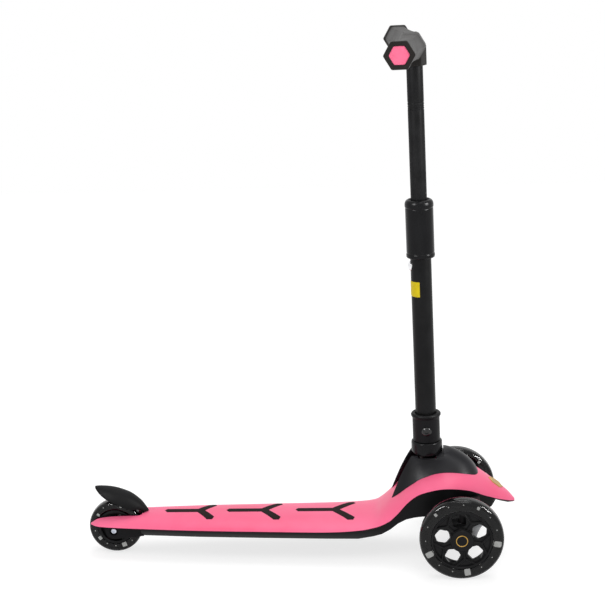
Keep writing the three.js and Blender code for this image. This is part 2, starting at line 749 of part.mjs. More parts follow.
function cowlForm(inset) {
  return loft(cowlLevelShares.map((level) => {
    const topStep = level === 1 ? cowlWall : 0;
    return cowlRing(Math.max(level, 0), inset + topStep).map(([x, y]) => {
      const low = deckHeightAt(x, y);
      const crown = cowlTop - inset - cowlSag * (y / cowlBase.half) ** 2;
      return new THREE.Vector3(x, y, low + (crown - low) * level);
    });
  }));
}

function makeCowl() {
  const troughRadius = footHeight - troughClearance;
  const reach = [cowlBase.back - overrun, cowlBase.front + overrun];
  const pivot = [0, 0, leanPivotHeight];
  const hollow = cowlForm(cowlWall)
    .intersect(rod('x', troughRadius - cowlWall, reach, pivot, 2 * facets.tube));
  const footX = -leanPivotBehind - footHeight * Math.tan(rakeAngle);
  const troughFront = footX + collarRadius + socketEdge / 2 + troughClearance;
  const troughBlock = block([cowlBase.back - overrun, troughFront], [-2 * cowlBase.half, 2 * cowlBase.half],
    [leanPivotHeight, cowlTop + overrun]);
  const trough = cut(troughBlock, rod('x', troughRadius, reach, pivot, 2 * facets.tube));
  const slot = block([footX - stemRadius - 2 * runningGap, footX + stemRadius + 2 * runningGap],
    [-stemSlot, stemSlot], [leanPivotHeight, cowlTop + overrun]);
  const archReach = [cowlBase.back - overrun, columnOpening.back];
  const arch = join(
    rod('x', archHalf, archReach, [0, 0, archHeight]),
    block(archReach, [-archHalf, archHalf], [deckTop, archHeight]));
  const seat = deckBody({ inset: -gap, below: overrun });
  return cut(cowlForm(0), hollow, trough, slot, arch, seat);
}

// Steering column, modelled upright from the lean pivot and then raked back
const column = new THREE.Group();
column.position.set(-leanPivotBehind, 0, leanPivotHeight);
column.rotation.y = -rakeAngle;
scooter.add(column);

const hubRadius = 15;
const leanBush = { radius: 8, length: 13 };
const centringSpring = { radius: 5.6, wire: 1.6, turns: 4, pitch: 2.3 };
const leverRadius = 5;
const leverBelow = 4;
const socketNeckRadius = 13;
const socketBoreFloor = 76;
const socketFlare = 2;
const socketEdge = 1;
const boltHeight = 89;
const boltRadius = 3;
const boltHead = { radius: 7, thickness: 3.2 };
const nut = { radius: 6, thickness: 4.5, boltEnd: 1 };

// Sets a solid that was modelled upright into a leaning frame, or back out of it.
function moved(solid, matrix) {
  return toSolid(toGeometry(solid).applyMatrix4(matrix));
}

function makeSocket() {
  const neckTop = collarTopHeight + gap;
  const flareBottom = socketTopHeight - 3 * socketFlare;
  const rim = socketRadius + socketFlare;
  const bore = lowerTubeRadius + gap;
  const stem = turned('z', [
    [0, 0], [stemRadius, 0], [stemRadius, footHeight - troughClearance],
    [socketNeckRadius, footHeight], [socketNeckRadius, neckTop],
    [socketRadius, neckTop], [socketRadius, flareBottom - socketFlare],
    [rim, flareBottom], [rim, socketTopHeight - socketEdge],
    [rim - socketEdge, socketTopHeight], [bore, socketTopHeight],
    [bore, socketBoreFloor], [0, socketBoreFloor],
  ], facets.tube);
  const boltBore = rod('y', boltRadius + gap, [-2 * overrun, 2 * overrun], [0, 0, boltHeight], facets.screw);
  const upright = new THREE.Matrix4().makeRotationY(rakeAngle);
  const hub = rod('x', hubRadius, [-hubHalfLength, hubHalfLength], [0, 0, 0], facets.tube);
  const lever = rod('z', leverRadius, [-leverLength - leverBelow, -leanBush.radius], [0, 0, 0]);
  const pinBore = rod('x', leanBush.radius + gap, [-2 * hubHalfLength, 2 * hubHalfLength], [0, 0, 0]);
  return cut(join(cut(stem, boltBore), moved(join(hub, lever), upright)), moved(pinBore, upright));
}

// The collar's underside is hollowed about the lean pivot, so that it rides over the trough
function makeCollar() {
  const [inner, low, high] = [socketNeckRadius + gap, footHeight - collarSkirt, collarTopHeight];
  const body = turned('z', [
    [inner, low], [collarRadius, low], [collarRadius + socketEdge / 2, low + collarSkirt],
    [collarRadius, high - socketEdge], [collarRadius - socketEdge, high],
    [inner, high], [inner, low],
  ], facets.tube);
  const upright = new THREE.Matrix4().makeRotationY(rakeAngle);
  const sweep = rod('x', footHeight, [-2 * overrun, 2 * overrun], [0, 0, 0], 2 * facets.tube);
  return cut(body, moved(sweep, upright));
}

function makeLowerTube() {
  const tubeTop = sleeveTopHeight - sleeveLip;
  const body = tube('z', lowerTubeRadius, lowerTubeRadius - tubeWall,
    [socketBoreFloor + gap, tubeTop], [0, 0, 0]);
  const boltHole = rod('y', boltRadius + gap, [-2 * overrun, 2 * overrun], [0, 0, boltHeight], facets.screw);
  const buttonHole = rod('x', button.radius + gap, [-2 * overrun, -upperTubeRadius], [0, 0, buttonHeight]);
  return cut(body, boltHole, buttonHole);
}

// Lock sleeve, clamped round the top of the lower tube
const sleeveLip = 8.2;
const sleeveBead = { bottom: 7, top: 10, proud: 0.5, edge: 0.8, groove: 0.6 };
const sleeveMouth = { radius: 16, depth: 4.5 };

function makeLockSleeve() {
  const body = sleeveRadius - sleeveBead.proud;
  const { edge, groove } = sleeveBead;
  const [low, high] = [sleeveBottomHeight, sleeveTopHeight];
  const [beadTop, beadLow] = [low + sleeveBead.bottom, high - sleeveBead.top];
  const inner = lowerTubeRadius + gap;
  const throat = upperTubeRadius + 2 * gap;
  return turned('z', [
    [inner, low], [sleeveRadius - edge, low], [sleeveRadius, low + edge], [sleeveRadius, beadTop - edge],
    [body - groove, beadTop], [body, beadTop + edge],
    [body, beadLow - edge], [body - groove, beadLow], [sleeveRadius, beadLow + edge],
    [sleeveRadius, high - edge], [sleeveRadius - edge, high],
    [sleeveMouth.radius, high], [throat, high - sleeveMouth.depth], [throat, high - sleeveLip + gap],
    [inner, high - sleeveLip + gap], [inner, low],
  ], facets.tube);
}

// Height lock button in the back of the lower tube
const button = { radius: 7.7, proud: 3.5, depth: 1.3, flat: 0.5, shoulder: 0.85 };

function makeButton() {
  const face = -lowerTubeRadius - button.proud;
  return turned('x', [
    [0, face], [button.radius * button.flat, face + button.flat / 2],
    [button.radius * button.shoulder, face + button.proud / 2 - button.flat],
    [button.radius, -lowerTubeRadius - button.flat], [button.radius, -lowerTubeRadius + button.depth],
    [0, -lowerTubeRadius + button.depth],
  ], facets.pin, [0, 0, buttonHeight]);
}

// Plain band stuck on the back of the lower tube
const band = { low: 289, high: 311, thickness: 0.5, from: THREE.MathUtils.degToRad(170),
  to: THREE.MathUtils.degToRad(258) };

function makeBand() {
  const inner = lowerTubeRadius + gap;
  const shape = new THREE.Shape();
  shape.absarc(0, 0, inner + band.thickness, band.from, band.to, false);
  shape.absarc(0, 0, inner, band.to, band.from, true);
  return plateXY(shape, [band.low, band.high], 6);
}

// Upper tube with its row of lock holes, and the bushes that guide it
const guideLength = 18;
const lockHoleRadius = 4;
const headStop = 9;
const upperTubeTop = gripHeight - headStop;

function makeUpperTube() {
  const body = tube('z', upperTubeRadius, upperTubeRadius - tubeWall, [upperTubeBottomHeight, upperTubeTop],
    [0, 0, 0]);
  const holes = Array.from({ length: heightSteps + 1 }, (_, i) => rod('x', lockHoleRadius,
    [-2 * upperTubeRadius, -tubeWall], [0, 0, buttonHeight + i * heightStep], facets.screw));
  return cut(body, ...holes);
}

function guideBush(low, high) {
  return tube('z', lowerTubeRadius - tubeWall - gap, upperTubeRadius + gap, [low, high], [0, 0, 0]);
}

// Handlebar, six-sided in the middle and at both ends and rounder where the hands hold it
const barTubeRadius = 8;
const barTubeInset = 13;
const barTubeHalf = barWidth / 2 - barTubeInset;
const coreHalf = 24;
const coreEdge = 1.2;
const barBend = 22;
const barPoints = 12;
const flangeWidth = 7;
const recessRadius = 14.6;
const recessDepth = 4;
const plugSunk = 0.6;
const gripEdge = 1;

function barX(y) {
  const along = Math.max(0, Math.abs(y) - barBend) / (barWidth / 2 - barBend);
  return -headSetback - gripSweep * along;
}

// A ring about the handlebar between a circle and a hexagon with corners front and back.
function barRing(y, radius, hexShare) {
  return Array.from({ length: barPoints }, (_, i) => {
    const angle = (i * 2 * Math.PI) / barPoints;
    const corner = (angle % (Math.PI / 3)) - Math.PI / 6;
    const hexagon = Math.cos(Math.PI / 6) / Math.cos(corner);
    const reach = radius * (1 + hexShare * (hexagon - 1));
    return new THREE.Vector3(barX(y) + reach * Math.cos(angle), y, gripHeight - reach * Math.sin(angle));
  });
}

function barLoft(rows) {
  const rising = [...rows].sort((one, other) => one[0] - other[0]);
  return loft(rising.map(([y, radius, hexShare]) => barRing(y, radius, hexShare)));
}

function barBore(hand, from, to, radius, hexShare = 0) {
  const places = from < barBend ? [from, barBend, to] : [from, to];
  return barLoft(places.map((place) => [hand * place, radius, hexShare]));
}

function makeCore() {
  const bar = barLoft([-coreHalf, -coreHalf + coreEdge, 0, coreHalf - coreEdge, coreHalf].map((y) => {
    const endShare = (Math.abs(y) / coreHalf) ** 2;
    return [y, hexRadius - coreEdge * endShare - (Math.abs(y) === coreHalf ? coreEdge / 2 : 0), 1];
  }));
  const collar = plateXY(shapeOf(polygon(6, headHalfWidth)), [headBottomHeight, gripHeight]);
  const stemBore = rod('z', upperTubeRadius + gap, [headBottomHeight - overrun, gripHeight], [0, 0, 0],
    facets.tube);
  const barTunnel = join(barBore(1, 0, coreHalf + overrun, barTubeRadius + gap),
    barBore(-1, 0, coreHalf + overrun, barTubeRadius + gap));
  return cut(join(bar, collar), stemBore, barTunnel);
}

function makeCrossbar() {
  return barLoft([-barTubeHalf, -barBend, barBend, barTubeHalf].map((y) => [y, barTubeRadius, 0]));
}

// Shares of the grip's length, radius and how six-sided it is there
const gripShares = [
  [0, 0.97, 1], [0.01, 1.045, 1], [0.12, 1.02, 0.9], [0.35, 0.985, 0.7], [0.62, 0.985, 0.6],
  [0.84, 1.02, 0.75], [0.93, 1.06, 0.9],
];

function makeGrip(hand) {
  const inner = coreHalf + gap;
  const outer = barWidth / 2;
  const length = outer - inner;
  const rows = gripShares.map(([place, radius, hexShare]) => [
    hand * (inner + place * length), radius * gripRadius, hexShare]);
  const flange = [
    [hand * (outer - flangeWidth + gripEdge), hexRadius, 1],
    [hand * (outer - gripEdge), hexRadius, 1],
    [hand * outer, hexRadius - gripEdge, 1],
  ];
  const body = barLoft([...rows, ...flange]);
  const recess = barBore(hand, outer - recessDepth, outer + overrun, recessRadius, 1);
  return cut(body, barBore(hand, inner - overrun, barTubeHalf + gap, barTubeRadius + gap), recess);
}

function makeGripEnd(hand) {
  const outer = barWidth / 2 - plugSunk;
  const radius = recessRadius - gap;
  return barLoft([
    [hand * (barWidth / 2 - recessDepth + gap), radius, 1],
    [hand * (outer - gripEdge / 2), radius, 1],
    [hand * outer, radius - gripEdge / 2, 1],
  ]);
}

// Wheels, modelled about their own middle with the outside towards +Y
const tyreBeadStep = 1.5;
// Shares of the tyre's depth in from the tread, and of its half width there
const tyreProfileShares = [[0, 0.6], [0.06, 0.82], [0.2, 0.95], [0.45, 1]];
const hubBolt = { radius: 3.9, headRadius: 6.5, headThickness: 3.2 };
const frontHub = { radius: 17, half: 11, counterbore: 15, counterDepth: 3.2 };
const rimWall = 7.5;
const webHalf = 4;
const cell = { count: 5, across: 20, radius: 27.5, turn: THREE.MathUtils.degToRad(10) };
const ridge = { width: 2.4, height: 4, fork: 28.5, angle: THREE.MathUtils.degToRad(56) };
const bearingPair = { inner: [-10.5, -3.5], outer: [0.5, 7.5] };
const magnet = { inner: -3.2, outer: 0.2, radius: 8 };
const cap = { radius: 16.3, skirtOuter: 14.7, skirtInner: 12.5, skirt: 3, disc: 1.9, edge: 0.8 };
const lightCount = 6;
const lightTurn = THREE.MathUtils.degToRad(12);
const frontLight = { size: 9, depth: 11.6 };

// Copies of one geometry turned evenly about the Y axis.
function around(count, turn, geometry) {
  return Array.from({ length: count }, (_, i) => toSolid(
    geometry.clone().rotateY(-turn - (i * 2 * Math.PI) / count)));
}

// The light blocks stand on the rim of the core, and the same shapes with a margin are their pockets.
function lightBlocks(coreRadius, { size, depth }, margin) {
  const [inner, outer] = [coreRadius - runningGap, coreRadius + depth + margin];
  const box = new THREE.BoxGeometry(outer - inner, size + 2 * margin, size + 2 * margin);
  box.translate((inner + outer) / 2, 0, 0);
  return around(lightCount, lightTurn, box);
}

function makeTyre(wheelRadius, coreRadius, sides, blocks) {
  const half = tyreWidth / 2;
  const bead = coreRadius + gap;
  const tread = wheelRadius - bead;
  const upper = tyreProfileShares.map(([depth, across]) => [wheelRadius - tread * depth, half * across]);
  upper.push([bead, half - tyreBeadStep]);
  const lower = upper.map(([radius, across]) => [radius, -across]).reverse();
  const body = turned('y', [...lower, ...upper, lower[0]], sides);
  return cut(body, ...blocks);
}

function makeFrontCore() {
  const rim = { inner: frontCoreRadius - rimWall, edge: 1 };
  const { half } = frontHub;
  const ring = turned('y', [
    [rim.inner, -half], [frontCoreRadius - rim.edge, -half], [frontCoreRadius, -half + rim.edge],
    [frontCoreRadius, half - rim.edge], [frontCoreRadius - rim.edge, half], [rim.inner + rim.edge, half],
    [rim.inner, half - rim.edge], [rim.inner, -half],
  ], facets.wheel);
  const hub = turned('y', [
    [bearingRadius, -half], [frontHub.radius, -half], [frontHub.radius, half], [frontHub.counterbore, half],
    [frontHub.counterbore, half - frontHub.counterDepth], [bearingRadius, half - frontHub.counterDepth],
    [bearingRadius, -half],
  ], facets.tube);
  const web = tube('y', rim.inner + rim.edge, frontHub.radius - rim.edge, [-webHalf, webHalf], [0, 0, 0],
    facets.wheel);
  const cellRadius = cell.across / 2 / Math.cos(Math.PI / 6);
  const hexagon = along('y', new THREE.CylinderGeometry(cellRadius, cellRadius, 4 * webHalf, 6));
  hexagon.translate(cell.radius, 0, 0);
  const ridges = ridgeSolids(rim.inner + rim.edge / 2);
  return join(cut(web, ...around(cell.count, cell.turn, hexagon)), ring, hub, ...ridges,
    ...lightBlocks(frontCoreRadius, frontLight, 0));
}

// The raised Y between two cells: a stem out from the hub and two arms on to the rim
function ridgeSolids(rimInner) {
  const { width, height, fork, angle } = ridge;
  const start = frontHub.radius - width / 2;
  const stem = new THREE.BoxGeometry(fork - start, height, width);
  stem.translate((fork + start) / 2, 0, 0);
  const reach = Math.sqrt(rimInner ** 2 - (fork * Math.sin(angle)) ** 2) - fork * Math.cos(angle);
  const arms = [-1, 1].map((hand) => new THREE.BoxGeometry(reach + width, height, width)
    .translate(reach / 2, 0, 0).rotateY(hand * angle).translate(fork, 0, 0));
  const turn = cell.turn + Math.PI / cell.count;
  return [stem, ...arms].flatMap((geometry) => around(cell.count, turn,
    geometry.translate(0, webHalf + height / 2 - gap, 0)));
}

function makeHubCap() {
  const face = frontHub.half + gap;
  return turned('y', [
    [0, face], [cap.skirtInner, face], [cap.skirtInner, face - cap.skirt], [cap.skirtOuter, face - cap.skirt],
    [cap.skirtOuter, face], [cap.radius, face], [cap.radius, face + cap.disc - cap.edge],
    [cap.radius - cap.edge, face + cap.disc], [0, face + cap.disc],
  ], facets.tube);
}

function addFrontWheel(sideName) {
  const hand = side[sideName];
  const wheel = new THREE.Group();
  wheel.position.set(0, hand * tyreMiddle, frontWheelRadius);
  wheel.rotation.z = hand < 0 ? Math.PI : 0;
  scooter.add(wheel);
  const pockets = lightBlocks(frontCoreRadius, frontLight, gap);
  addPiece(`front_tyre_${sideName}`, makeTyre(frontWheelRadius, frontCoreRadius, facets.tyre, pockets),
    look.tyre, wheel);
  addPiece(`front_wheel_core_${sideName}`, makeFrontCore(), look.black, wheel);
  Object.entries(bearingPair).forEach(([place, limits]) => {
    addPiece(`front_bearing_${place}_${sideName}`, tube('y', bearingRadius - gap, axleRadius + gap, limits,
      [0, 0, 0], facets.pin), look.steel, wheel);
  });
  addPiece(`hub_cap_${sideName}`, makeHubCap(), look.black, wheel);
  const shoulder = bearingPair.outer[1] + gap;
  addPiece(`front_axle_bolt_${sideName}`, turned('y', [
    [0, -tyreMiddle + kingpinY + hubBolt.radius], [hubBolt.radius, -tyreMiddle + kingpinY + hubBolt.radius],
    [hubBolt.radius, shoulder], [hubBolt.headRadius, shoulder],
    [hubBolt.headRadius, shoulder + hubBolt.headThickness - gripEdge / 2],
    [hubBolt.headRadius - gripEdge / 2, shoulder + hubBolt.headThickness],
    [0, shoulder + hubBolt.headThickness],
  ], facets.pin), look.steel, wheel);
  addPiece(`axle_magnet_${sideName}`, tube('y', magnet.radius, axleRadius + gap,
    [magnet.inner, magnet.outer], [0, 0, 0], facets.pin), look.steel, wheel);
}

// Knuckles, kingpins and tie rod
const bossLength = { full: 90, nose: 94.6 };
const boss = { radius: 10, noseRadius: 6.5 };
const knuckleRoom = 0.8;
const knuckleTop = kingpinTower.bottom - knuckleRoom;
const knuckleProfileShares = [[0.45, 0], [0.55, 0.31], [0.8, 0.7], [1, 0.9], [1, 1]];
const knuckleRadius = 20;
const armThickness = 5;
const armEnd = 7;
const rodPinRadius = 3.5;
const rodScrewHead = { radius: 6.2, thickness: 2.6 };
const tieRod = { width: 12, thickness: 4, tabRadius: 9.5 };
const kingpinHeadThickness = 3;

// A flat bar with round ends of two radii, its outline in X and Y.
function strap([x0, y0], r0, [x1, y1], r1) {
  const heading = Math.atan2(y1 - y0, x1 - x0);
  const spread = Math.acos((r0 - r1) / Math.hypot(x1 - x0, y1 - y0));
  const shape = new THREE.Shape();
  shape.absarc(x0, y0, r0, heading + spread, heading - spread + 2 * Math.PI, false);
  shape.absarc(x1, y1, r1, heading - spread, heading + spread, false);
  return shape;
}

function makeKnuckle(hand) {
  const y = hand * kingpinY;
  const height = knuckleTop - knuckleBottom;
  const bell = turned('z', [[0, knuckleBottom],
    ...knuckleProfileShares.map(([radius, rise]) => [radius * knuckleRadius, knuckleBottom + rise * height]),
    [0, knuckleTop]], facets.tube, [kingpinAhead, y, 0]);
  const inner = kingpinY - boss.radius;
  const span = (from, to) => (hand > 0 ? [from, to] : [-to, -from]);
  const axle = join(
    rod('y', boss.radius, span(inner, bossLength.full), [0, 0, frontWheelRadius]),
    rod('y', boss.noseRadius, span(inner, bossLength.nose), [0, 0, frontWheelRadius]));
  const armBottom = knuckleTop - gap - armThickness;
  const pinX = kingpinAhead - steeringArm;
  const arm = plateXY(strap([kingpinAhead, y], knuckleRadius - armEnd, [pinX, y], armEnd),
    [armBottom, armBottom + armThickness]);
  const boreLimits = span(kingpinY + hubBolt.radius - gap, bossLength.nose + gap);
  const axleBore = rod('y', axleRadius + gap / 2, boreLimits, [0, 0, frontWheelRadius]);
  const kingpinBore = rod('z', kingpinRadius + gap, [0, saddleTop], [kingpinAhead, y, 0]);
  const screwBore = rod('z', rodPinRadius + gap, [0, saddleTop], [pinX, y, 0], facets.screw);
  return cut(join(bell, axle, arm), axleBore, kingpinBore, screwBore);
}

function makeKingpin(hand) {
  const seat = knuckleBottom - gap;
  const top = kingpinTower.top - 2 * trayWall - gap;
  return turned('z', [
    [0, seat - kingpinHeadThickness], [kingpinHeadRadius - gap, seat - kingpinHeadThickness],
    [kingpinHeadRadius, seat + gap - kingpinHeadThickness], [kingpinHeadRadius, seat],
    [kingpinRadius, seat], [kingpinRadius, top], [0, top],
  ], facets.pin, [kingpinAhead, hand * kingpinY, 0]);
}

function makeRodScrew(hand) {
  const low = tieRodHeight - tieRod.thickness / 2 - gap;
  return turned('z', [
    [0, low - rodScrewHead.thickness], [rodScrewHead.radius, low - rodScrewHead.thickness],
    [rodScrewHead.radius, low], [rodPinRadius, low], [rodPinRadius, knuckleTop - gap], [0, knuckleTop - gap],
  ], facets.screw, [kingpinAhead - steeringArm, hand * kingpinY, 0]);
}

function makeTieRod() {
  const x = kingpinAhead - steeringArm;
  const limits = [tieRodHeight - tieRod.thickness / 2, tieRodHeight + tieRod.thickness / 2];
  const half = tieRod.width / 2 + runningGap;
  const bar = plateXY(strap([x, -kingpinY], half, [x, kingpinY], half), limits);
  const tab = plateXY(strap([x, 0], tieRod.width, [-leanPivotBehind, 0], tieRod.tabRadius), limits);
  const holes = Object.values(side).map((hand) => rod('z', rodPinRadius + runningGap, [0, saddleTop],
    [x, hand * kingpinY, 0]));
  const leverHole = rod('z', leverRadius + runningGap, [0, saddleTop], [-leanPivotBehind, 0, 0]);
  return cut(join(bar, tab), ...holes, leverHole);
}

// Rear wheel
const rearHub = { radius: 14, half: 11, rimWall: 5, webHalf: 3.5, holes: 5, holeRadius: 2.6 };
const rearLight = { size: 8, depth: 8.4 };

function makeRearCore() {
  const { half, radius } = rearHub;
  const rimInner = rearCoreRadius - rearHub.rimWall;
  const ring = tube('y', rearCoreRadius, rimInner, [-half, half], [0, 0, 0], facets.wheel);
  const hub = tube('y', radius, bearingRadius, [-half, half], [0, 0, 0], facets.tube);
  const web = tube('y', rimInner + gap, radius - gap, [-rearHub.webHalf, rearHub.webHalf], [0, 0, 0],
    facets.wheel);
  const { holeRadius, webHalf: thick } = rearHub;
  const hole = along('y', new THREE.CylinderGeometry(holeRadius, holeRadius, 3 * thick, facets.screw));
  hole.translate((rimInner + radius) / 2, 0, 0);
  return join(cut(web, ...around(rearHub.holes, 0, hole)), ring, hub,
    ...lightBlocks(rearCoreRadius, rearLight, 0));
}

const rearWheel = new THREE.Group();
rearWheel.position.set(rearAxleX, 0, rearWheelRadius);
scooter.add(rearWheel);

function makeRearBearing(hand) {
  const near = hand * (rearHub.half - gap);
  return tube('y', bearingRadius - gap, rearAxleRadius + gap, rising(near, near - hand * bearingWidth),
    [0, 0, 0], facets.pin);
}

// Fasteners
function makeRearAxleBolt() {
  const seat = rearArm.outer - axleHeadThickness;
  return turned('y', [
    [0, -rearArm.outer], [axleHeadRadius - gap, -rearArm.outer], [axleHeadRadius, -rearArm.outer + gap],
    [axleHeadRadius, -seat], [rearAxleRadius, -seat], [rearAxleRadius, rearArm.outer], [0, rearArm.outer],
  ], facets.pin);
}

function makeRearAxleNut() {
  const seat = rearArm.outer - axleHeadThickness;
  const ring = new THREE.CylinderGeometry(axleHeadRadius + gap, axleHeadRadius + gap, axleHeadThickness, 6);
  ring.translate(0, seat + axleHeadThickness / 2, 0);
  return cut(toSolid(ring), rod('y', rearAxleRadius + gap, [0, 2 * rearArm.outer], [0, 0, 0]));
}

function makeTrayScrew(share) {
  const top = deckBottom + screwSeatDepth - gap;
  return turned('z', [
    [0, top - screwHeadHeight], [screwHeadRadius, top - screwHeadHeight], [screwHeadRadius, top],
    [screwRadius, top], [screwRadius, deckTop - 2 * shellWall - gap], [0, deckTop - 2 * shellWall - gap],
  ], facets.screw, [share * wheelbase, 0, 0]);
}

function makeSocketBolt() {
  const seat = -socketRadius - gap;
  return turned('y', [
    [0, seat - boltHead.thickness], [boltHead.radius / 2, seat - boltHead.thickness],
    [boltHead.radius, seat - boltHead.thickness / 3], [boltHead.radius, seat], [boltRadius, seat],
    [boltRadius, socketRadius + nut.thickness + nut.boltEnd], [0, socketRadius + nut.thickness + nut.boltEnd],
  ], facets.pin, [0, 0, boltHeight]);
}

function makeSocketNut() {
  const body = new THREE.CylinderGeometry(nut.radius, nut.radius, nut.thickness, 6);
  body.translate(0, socketRadius + gap + nut.thickness / 2, boltHeight);
  return cut(toSolid(body), rod('y', boltRadius + gap, [0, 3 * socketRadius], [0, 0, boltHeight]));
}

function makeLeanBush(hand) {
  const limits = rising(hand * hubHalfLength, hand * (hubHalfLength - leanBush.length));
  return tube('x', leanBush.radius, pinRadius + gap, limits, [-leanPivotBehind, 0, leanPivotHeight],
    facets.pin);
}

// Assembly
const pivotReach = hubHalfLength + gap + pivotBlock.thickness;

addPiece('deck_shell', makeDeckShell(), look.shell);
inlays.forEach((inlay) => addPiece(inlay.name, makeInlay(inlay), look.rubber));
addPiece('nose_badge', badgePlate(0, [badge.proud - badge.thickness, badge.proud]), look.gold);
addPiece('deck_tray', makeTray(), look.black);
addPiece('front_cowl', makeCowl(), look.black);
Object.entries(screwPlaceShares).forEach(([place, share]) => {
  addPiece(`tray_screw_${place}`, makeTrayScrew(share), look.steel);
});
addPiece('lean_pivot_pin', rod('x', pinRadius, [-pivotReach, pivotReach],
  [-leanPivotBehind, 0, leanPivotHeight]), look.steel);
addPiece('rear_axle_bolt', makeRearAxleBolt(), look.steel, rearWheel);
addPiece('rear_axle_nut', makeRearAxleNut(), look.steel, rearWheel);
addPiece('brake_hinge_pin', rod('y', hingePinRadius, [-hingePinHalf, hingePinHalf],
  [hingeX, 0, brakeHingeHeight], facets.screw), look.steel);
addPiece('brake_fender', makeFender(), look.black);
addPiece('brake_return_spring', coil('y', brakeSpring, [hingeX, 0, brakeHingeHeight]), look.steel);

addPiece('column_socket', makeSocket(), look.black, column);
addPiece('column_collar', makeCollar(), look.gloss, column);
addPiece('lean_bush_front', makeLeanBush(1), look.rubber);
addPiece('lean_bush_rear', makeLeanBush(-1), look.rubber);
addPiece('centring_spring', coil('x', centringSpring, [-leanPivotBehind, 0, leanPivotHeight]), look.steel);
addPiece('socket_bolt', makeSocketBolt(), look.black, column);
addPiece('socket_nut', makeSocketNut(), look.steel, column);
addPiece('lower_tube', makeLowerTube(), look.tube, column);
addPiece('lock_sleeve', makeLockSleeve(), look.gloss, column);
addPiece('tube_bush_top', guideBush(sleeveTopHeight - sleeveLip - guideLength, sleeveTopHeight - sleeveLip),
  look.rubber, column);
addPiece('reflective_band', makeBand(), look.patch, column);
addPiece('height_button', makeButton(), look.chrome, column);
addPiece('upper_tube', makeUpperTube(), look.tube, column);
addPiece('tube_bush_bottom', guideBush(upperTubeBottomHeight, upperTubeBottomHeight + guideLength),
  look.rubber, column);
addPiece('handlebar_core', makeCore(), look.grip, column);
addPiece('crossbar', makeCrossbar(), look.steel, column);
Object.entries(side).forEach(([sideName, hand]) => {
  addPiece(`grip_${sideName}`, makeGrip(hand), look.grip, column);
  addPiece(`grip_end_${sideName}`, makeGripEnd(hand), look.shell, column);
  addPiece(`knuckle_${sideName}`, makeKnuckle(hand), look.black);
  addPiece(`kingpin_${sideName}`, makeKingpin(hand), look.steel);
  addPiece(`tie_rod_screw_${sideName}`, makeRodScrew(hand), look.steel);
  addFrontWheel(sideName);
});
addPiece('tie_rod', makeTieRod(), look.black);

addPiece('rear_tyre', makeTyre(rearWheelRadius, rearCoreRadius, facets.wheel,
  lightBlocks(rearCoreRadius, rearLight, gap)), look.tyre, rearWheel);
addPiece('rear_wheel_core', makeRearCore(), look.black, rearWheel);
Object.entries(side).forEach(([sideName, hand]) => {
  addPiece(`rear_bearing_${sideName}`, makeRearBearing(hand), look.steel, rearWheel);
});

scooter.position.x = -(noseX + tailX) / 2;
export default scooter;
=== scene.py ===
# Kids' three wheel scooter that steers by leaning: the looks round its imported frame.
# Shapes are worked out in millimetres from the middle of the front axle line, then set in metres.
import math

import bmesh
import bpy
import numpy as np
from mathutils import Matrix, Vector


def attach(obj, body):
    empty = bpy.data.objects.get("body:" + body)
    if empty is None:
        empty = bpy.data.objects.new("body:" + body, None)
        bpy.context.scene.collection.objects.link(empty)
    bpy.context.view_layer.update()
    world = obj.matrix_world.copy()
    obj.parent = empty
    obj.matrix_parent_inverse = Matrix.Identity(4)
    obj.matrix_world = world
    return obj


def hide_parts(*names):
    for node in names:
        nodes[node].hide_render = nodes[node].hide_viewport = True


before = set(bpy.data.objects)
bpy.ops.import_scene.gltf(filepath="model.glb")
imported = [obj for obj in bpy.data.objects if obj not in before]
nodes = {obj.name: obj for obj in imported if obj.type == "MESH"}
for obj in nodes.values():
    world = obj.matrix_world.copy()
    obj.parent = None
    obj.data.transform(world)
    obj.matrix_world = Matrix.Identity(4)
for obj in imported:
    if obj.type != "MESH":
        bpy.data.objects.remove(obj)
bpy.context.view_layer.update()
print("frame loaded")

# the front axle line in the frame, and the column's lean pivot, rake and lean limit
place = {"shift": 234.556, "pivotX": -44.2, "pivotZ": 100.0, "rake": 0.022, "limit": 10.0}
fits = {"gap": 0.3, "over": 20.0}  # the gap between fixed pieces, and how far a cutter runs past what it cuts
facets = {"pin": 48, "round": 96, "fine": 128, "trough": 192}  # sides of what is turned


# The camera of the photograph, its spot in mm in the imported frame
camera = {"lens": 92.79, "spot": (139.6, -2169.1, 940.9), "yaw": -3.354, "pitch": 14.467, "roll": -1.696}


def addCamera(look):
    yaw, pitch, roll = (math.radians(look[key]) for key in ("yaw", "pitch", "roll"))
    ahead = np.array([math.sin(yaw) * math.cos(pitch), math.cos(yaw) * math.cos(pitch), -math.sin(pitch)])
    right = np.array([math.cos(yaw), -math.sin(yaw), 0.0])
    up = np.cross(right, ahead)
    turnedRight = math.cos(roll) * right + math.sin(roll) * up
    turnedUp = math.cos(roll) * up - math.sin(roll) * right
    data = bpy.data.cameras.new("photoCamera")
    data.lens, data.sensor_width, data.clip_start, data.clip_end = look["lens"], 36.0, 0.1, 30.0
    item = bpy.data.objects.new("photoCamera", data)
    bpy.context.scene.collection.objects.link(item)
    pose = np.eye(4)
    pose[:3] = np.stack([turnedRight, turnedUp, -ahead, np.array(look["spot"]) * 0.001], axis=1)
    item.matrix_world = Matrix(pose.tolist())
    bpy.context.scene.camera = item


addCamera(camera)
print("camera set")


# Mesh helpers
def toRow(points):  # from the front axle line in mm to the frame in m
    return (np.asarray(points, float) + np.array([place["shift"], 0.0, 0.0])) * 0.001


def onColumn(points):  # from the upright column, heights from the lean pivot, to its raked place
    points = np.asarray(points, float)
    sine, cosine = math.sin(place["rake"]), math.cos(place["rake"])
    x, y, height = points[..., 0], points[..., 1], points[..., 2]
    return np.stack([place["pivotX"] + x * cosine - height * sine, y,
                     place["pivotZ"] + x * sine + height * cosine], axis=-1)


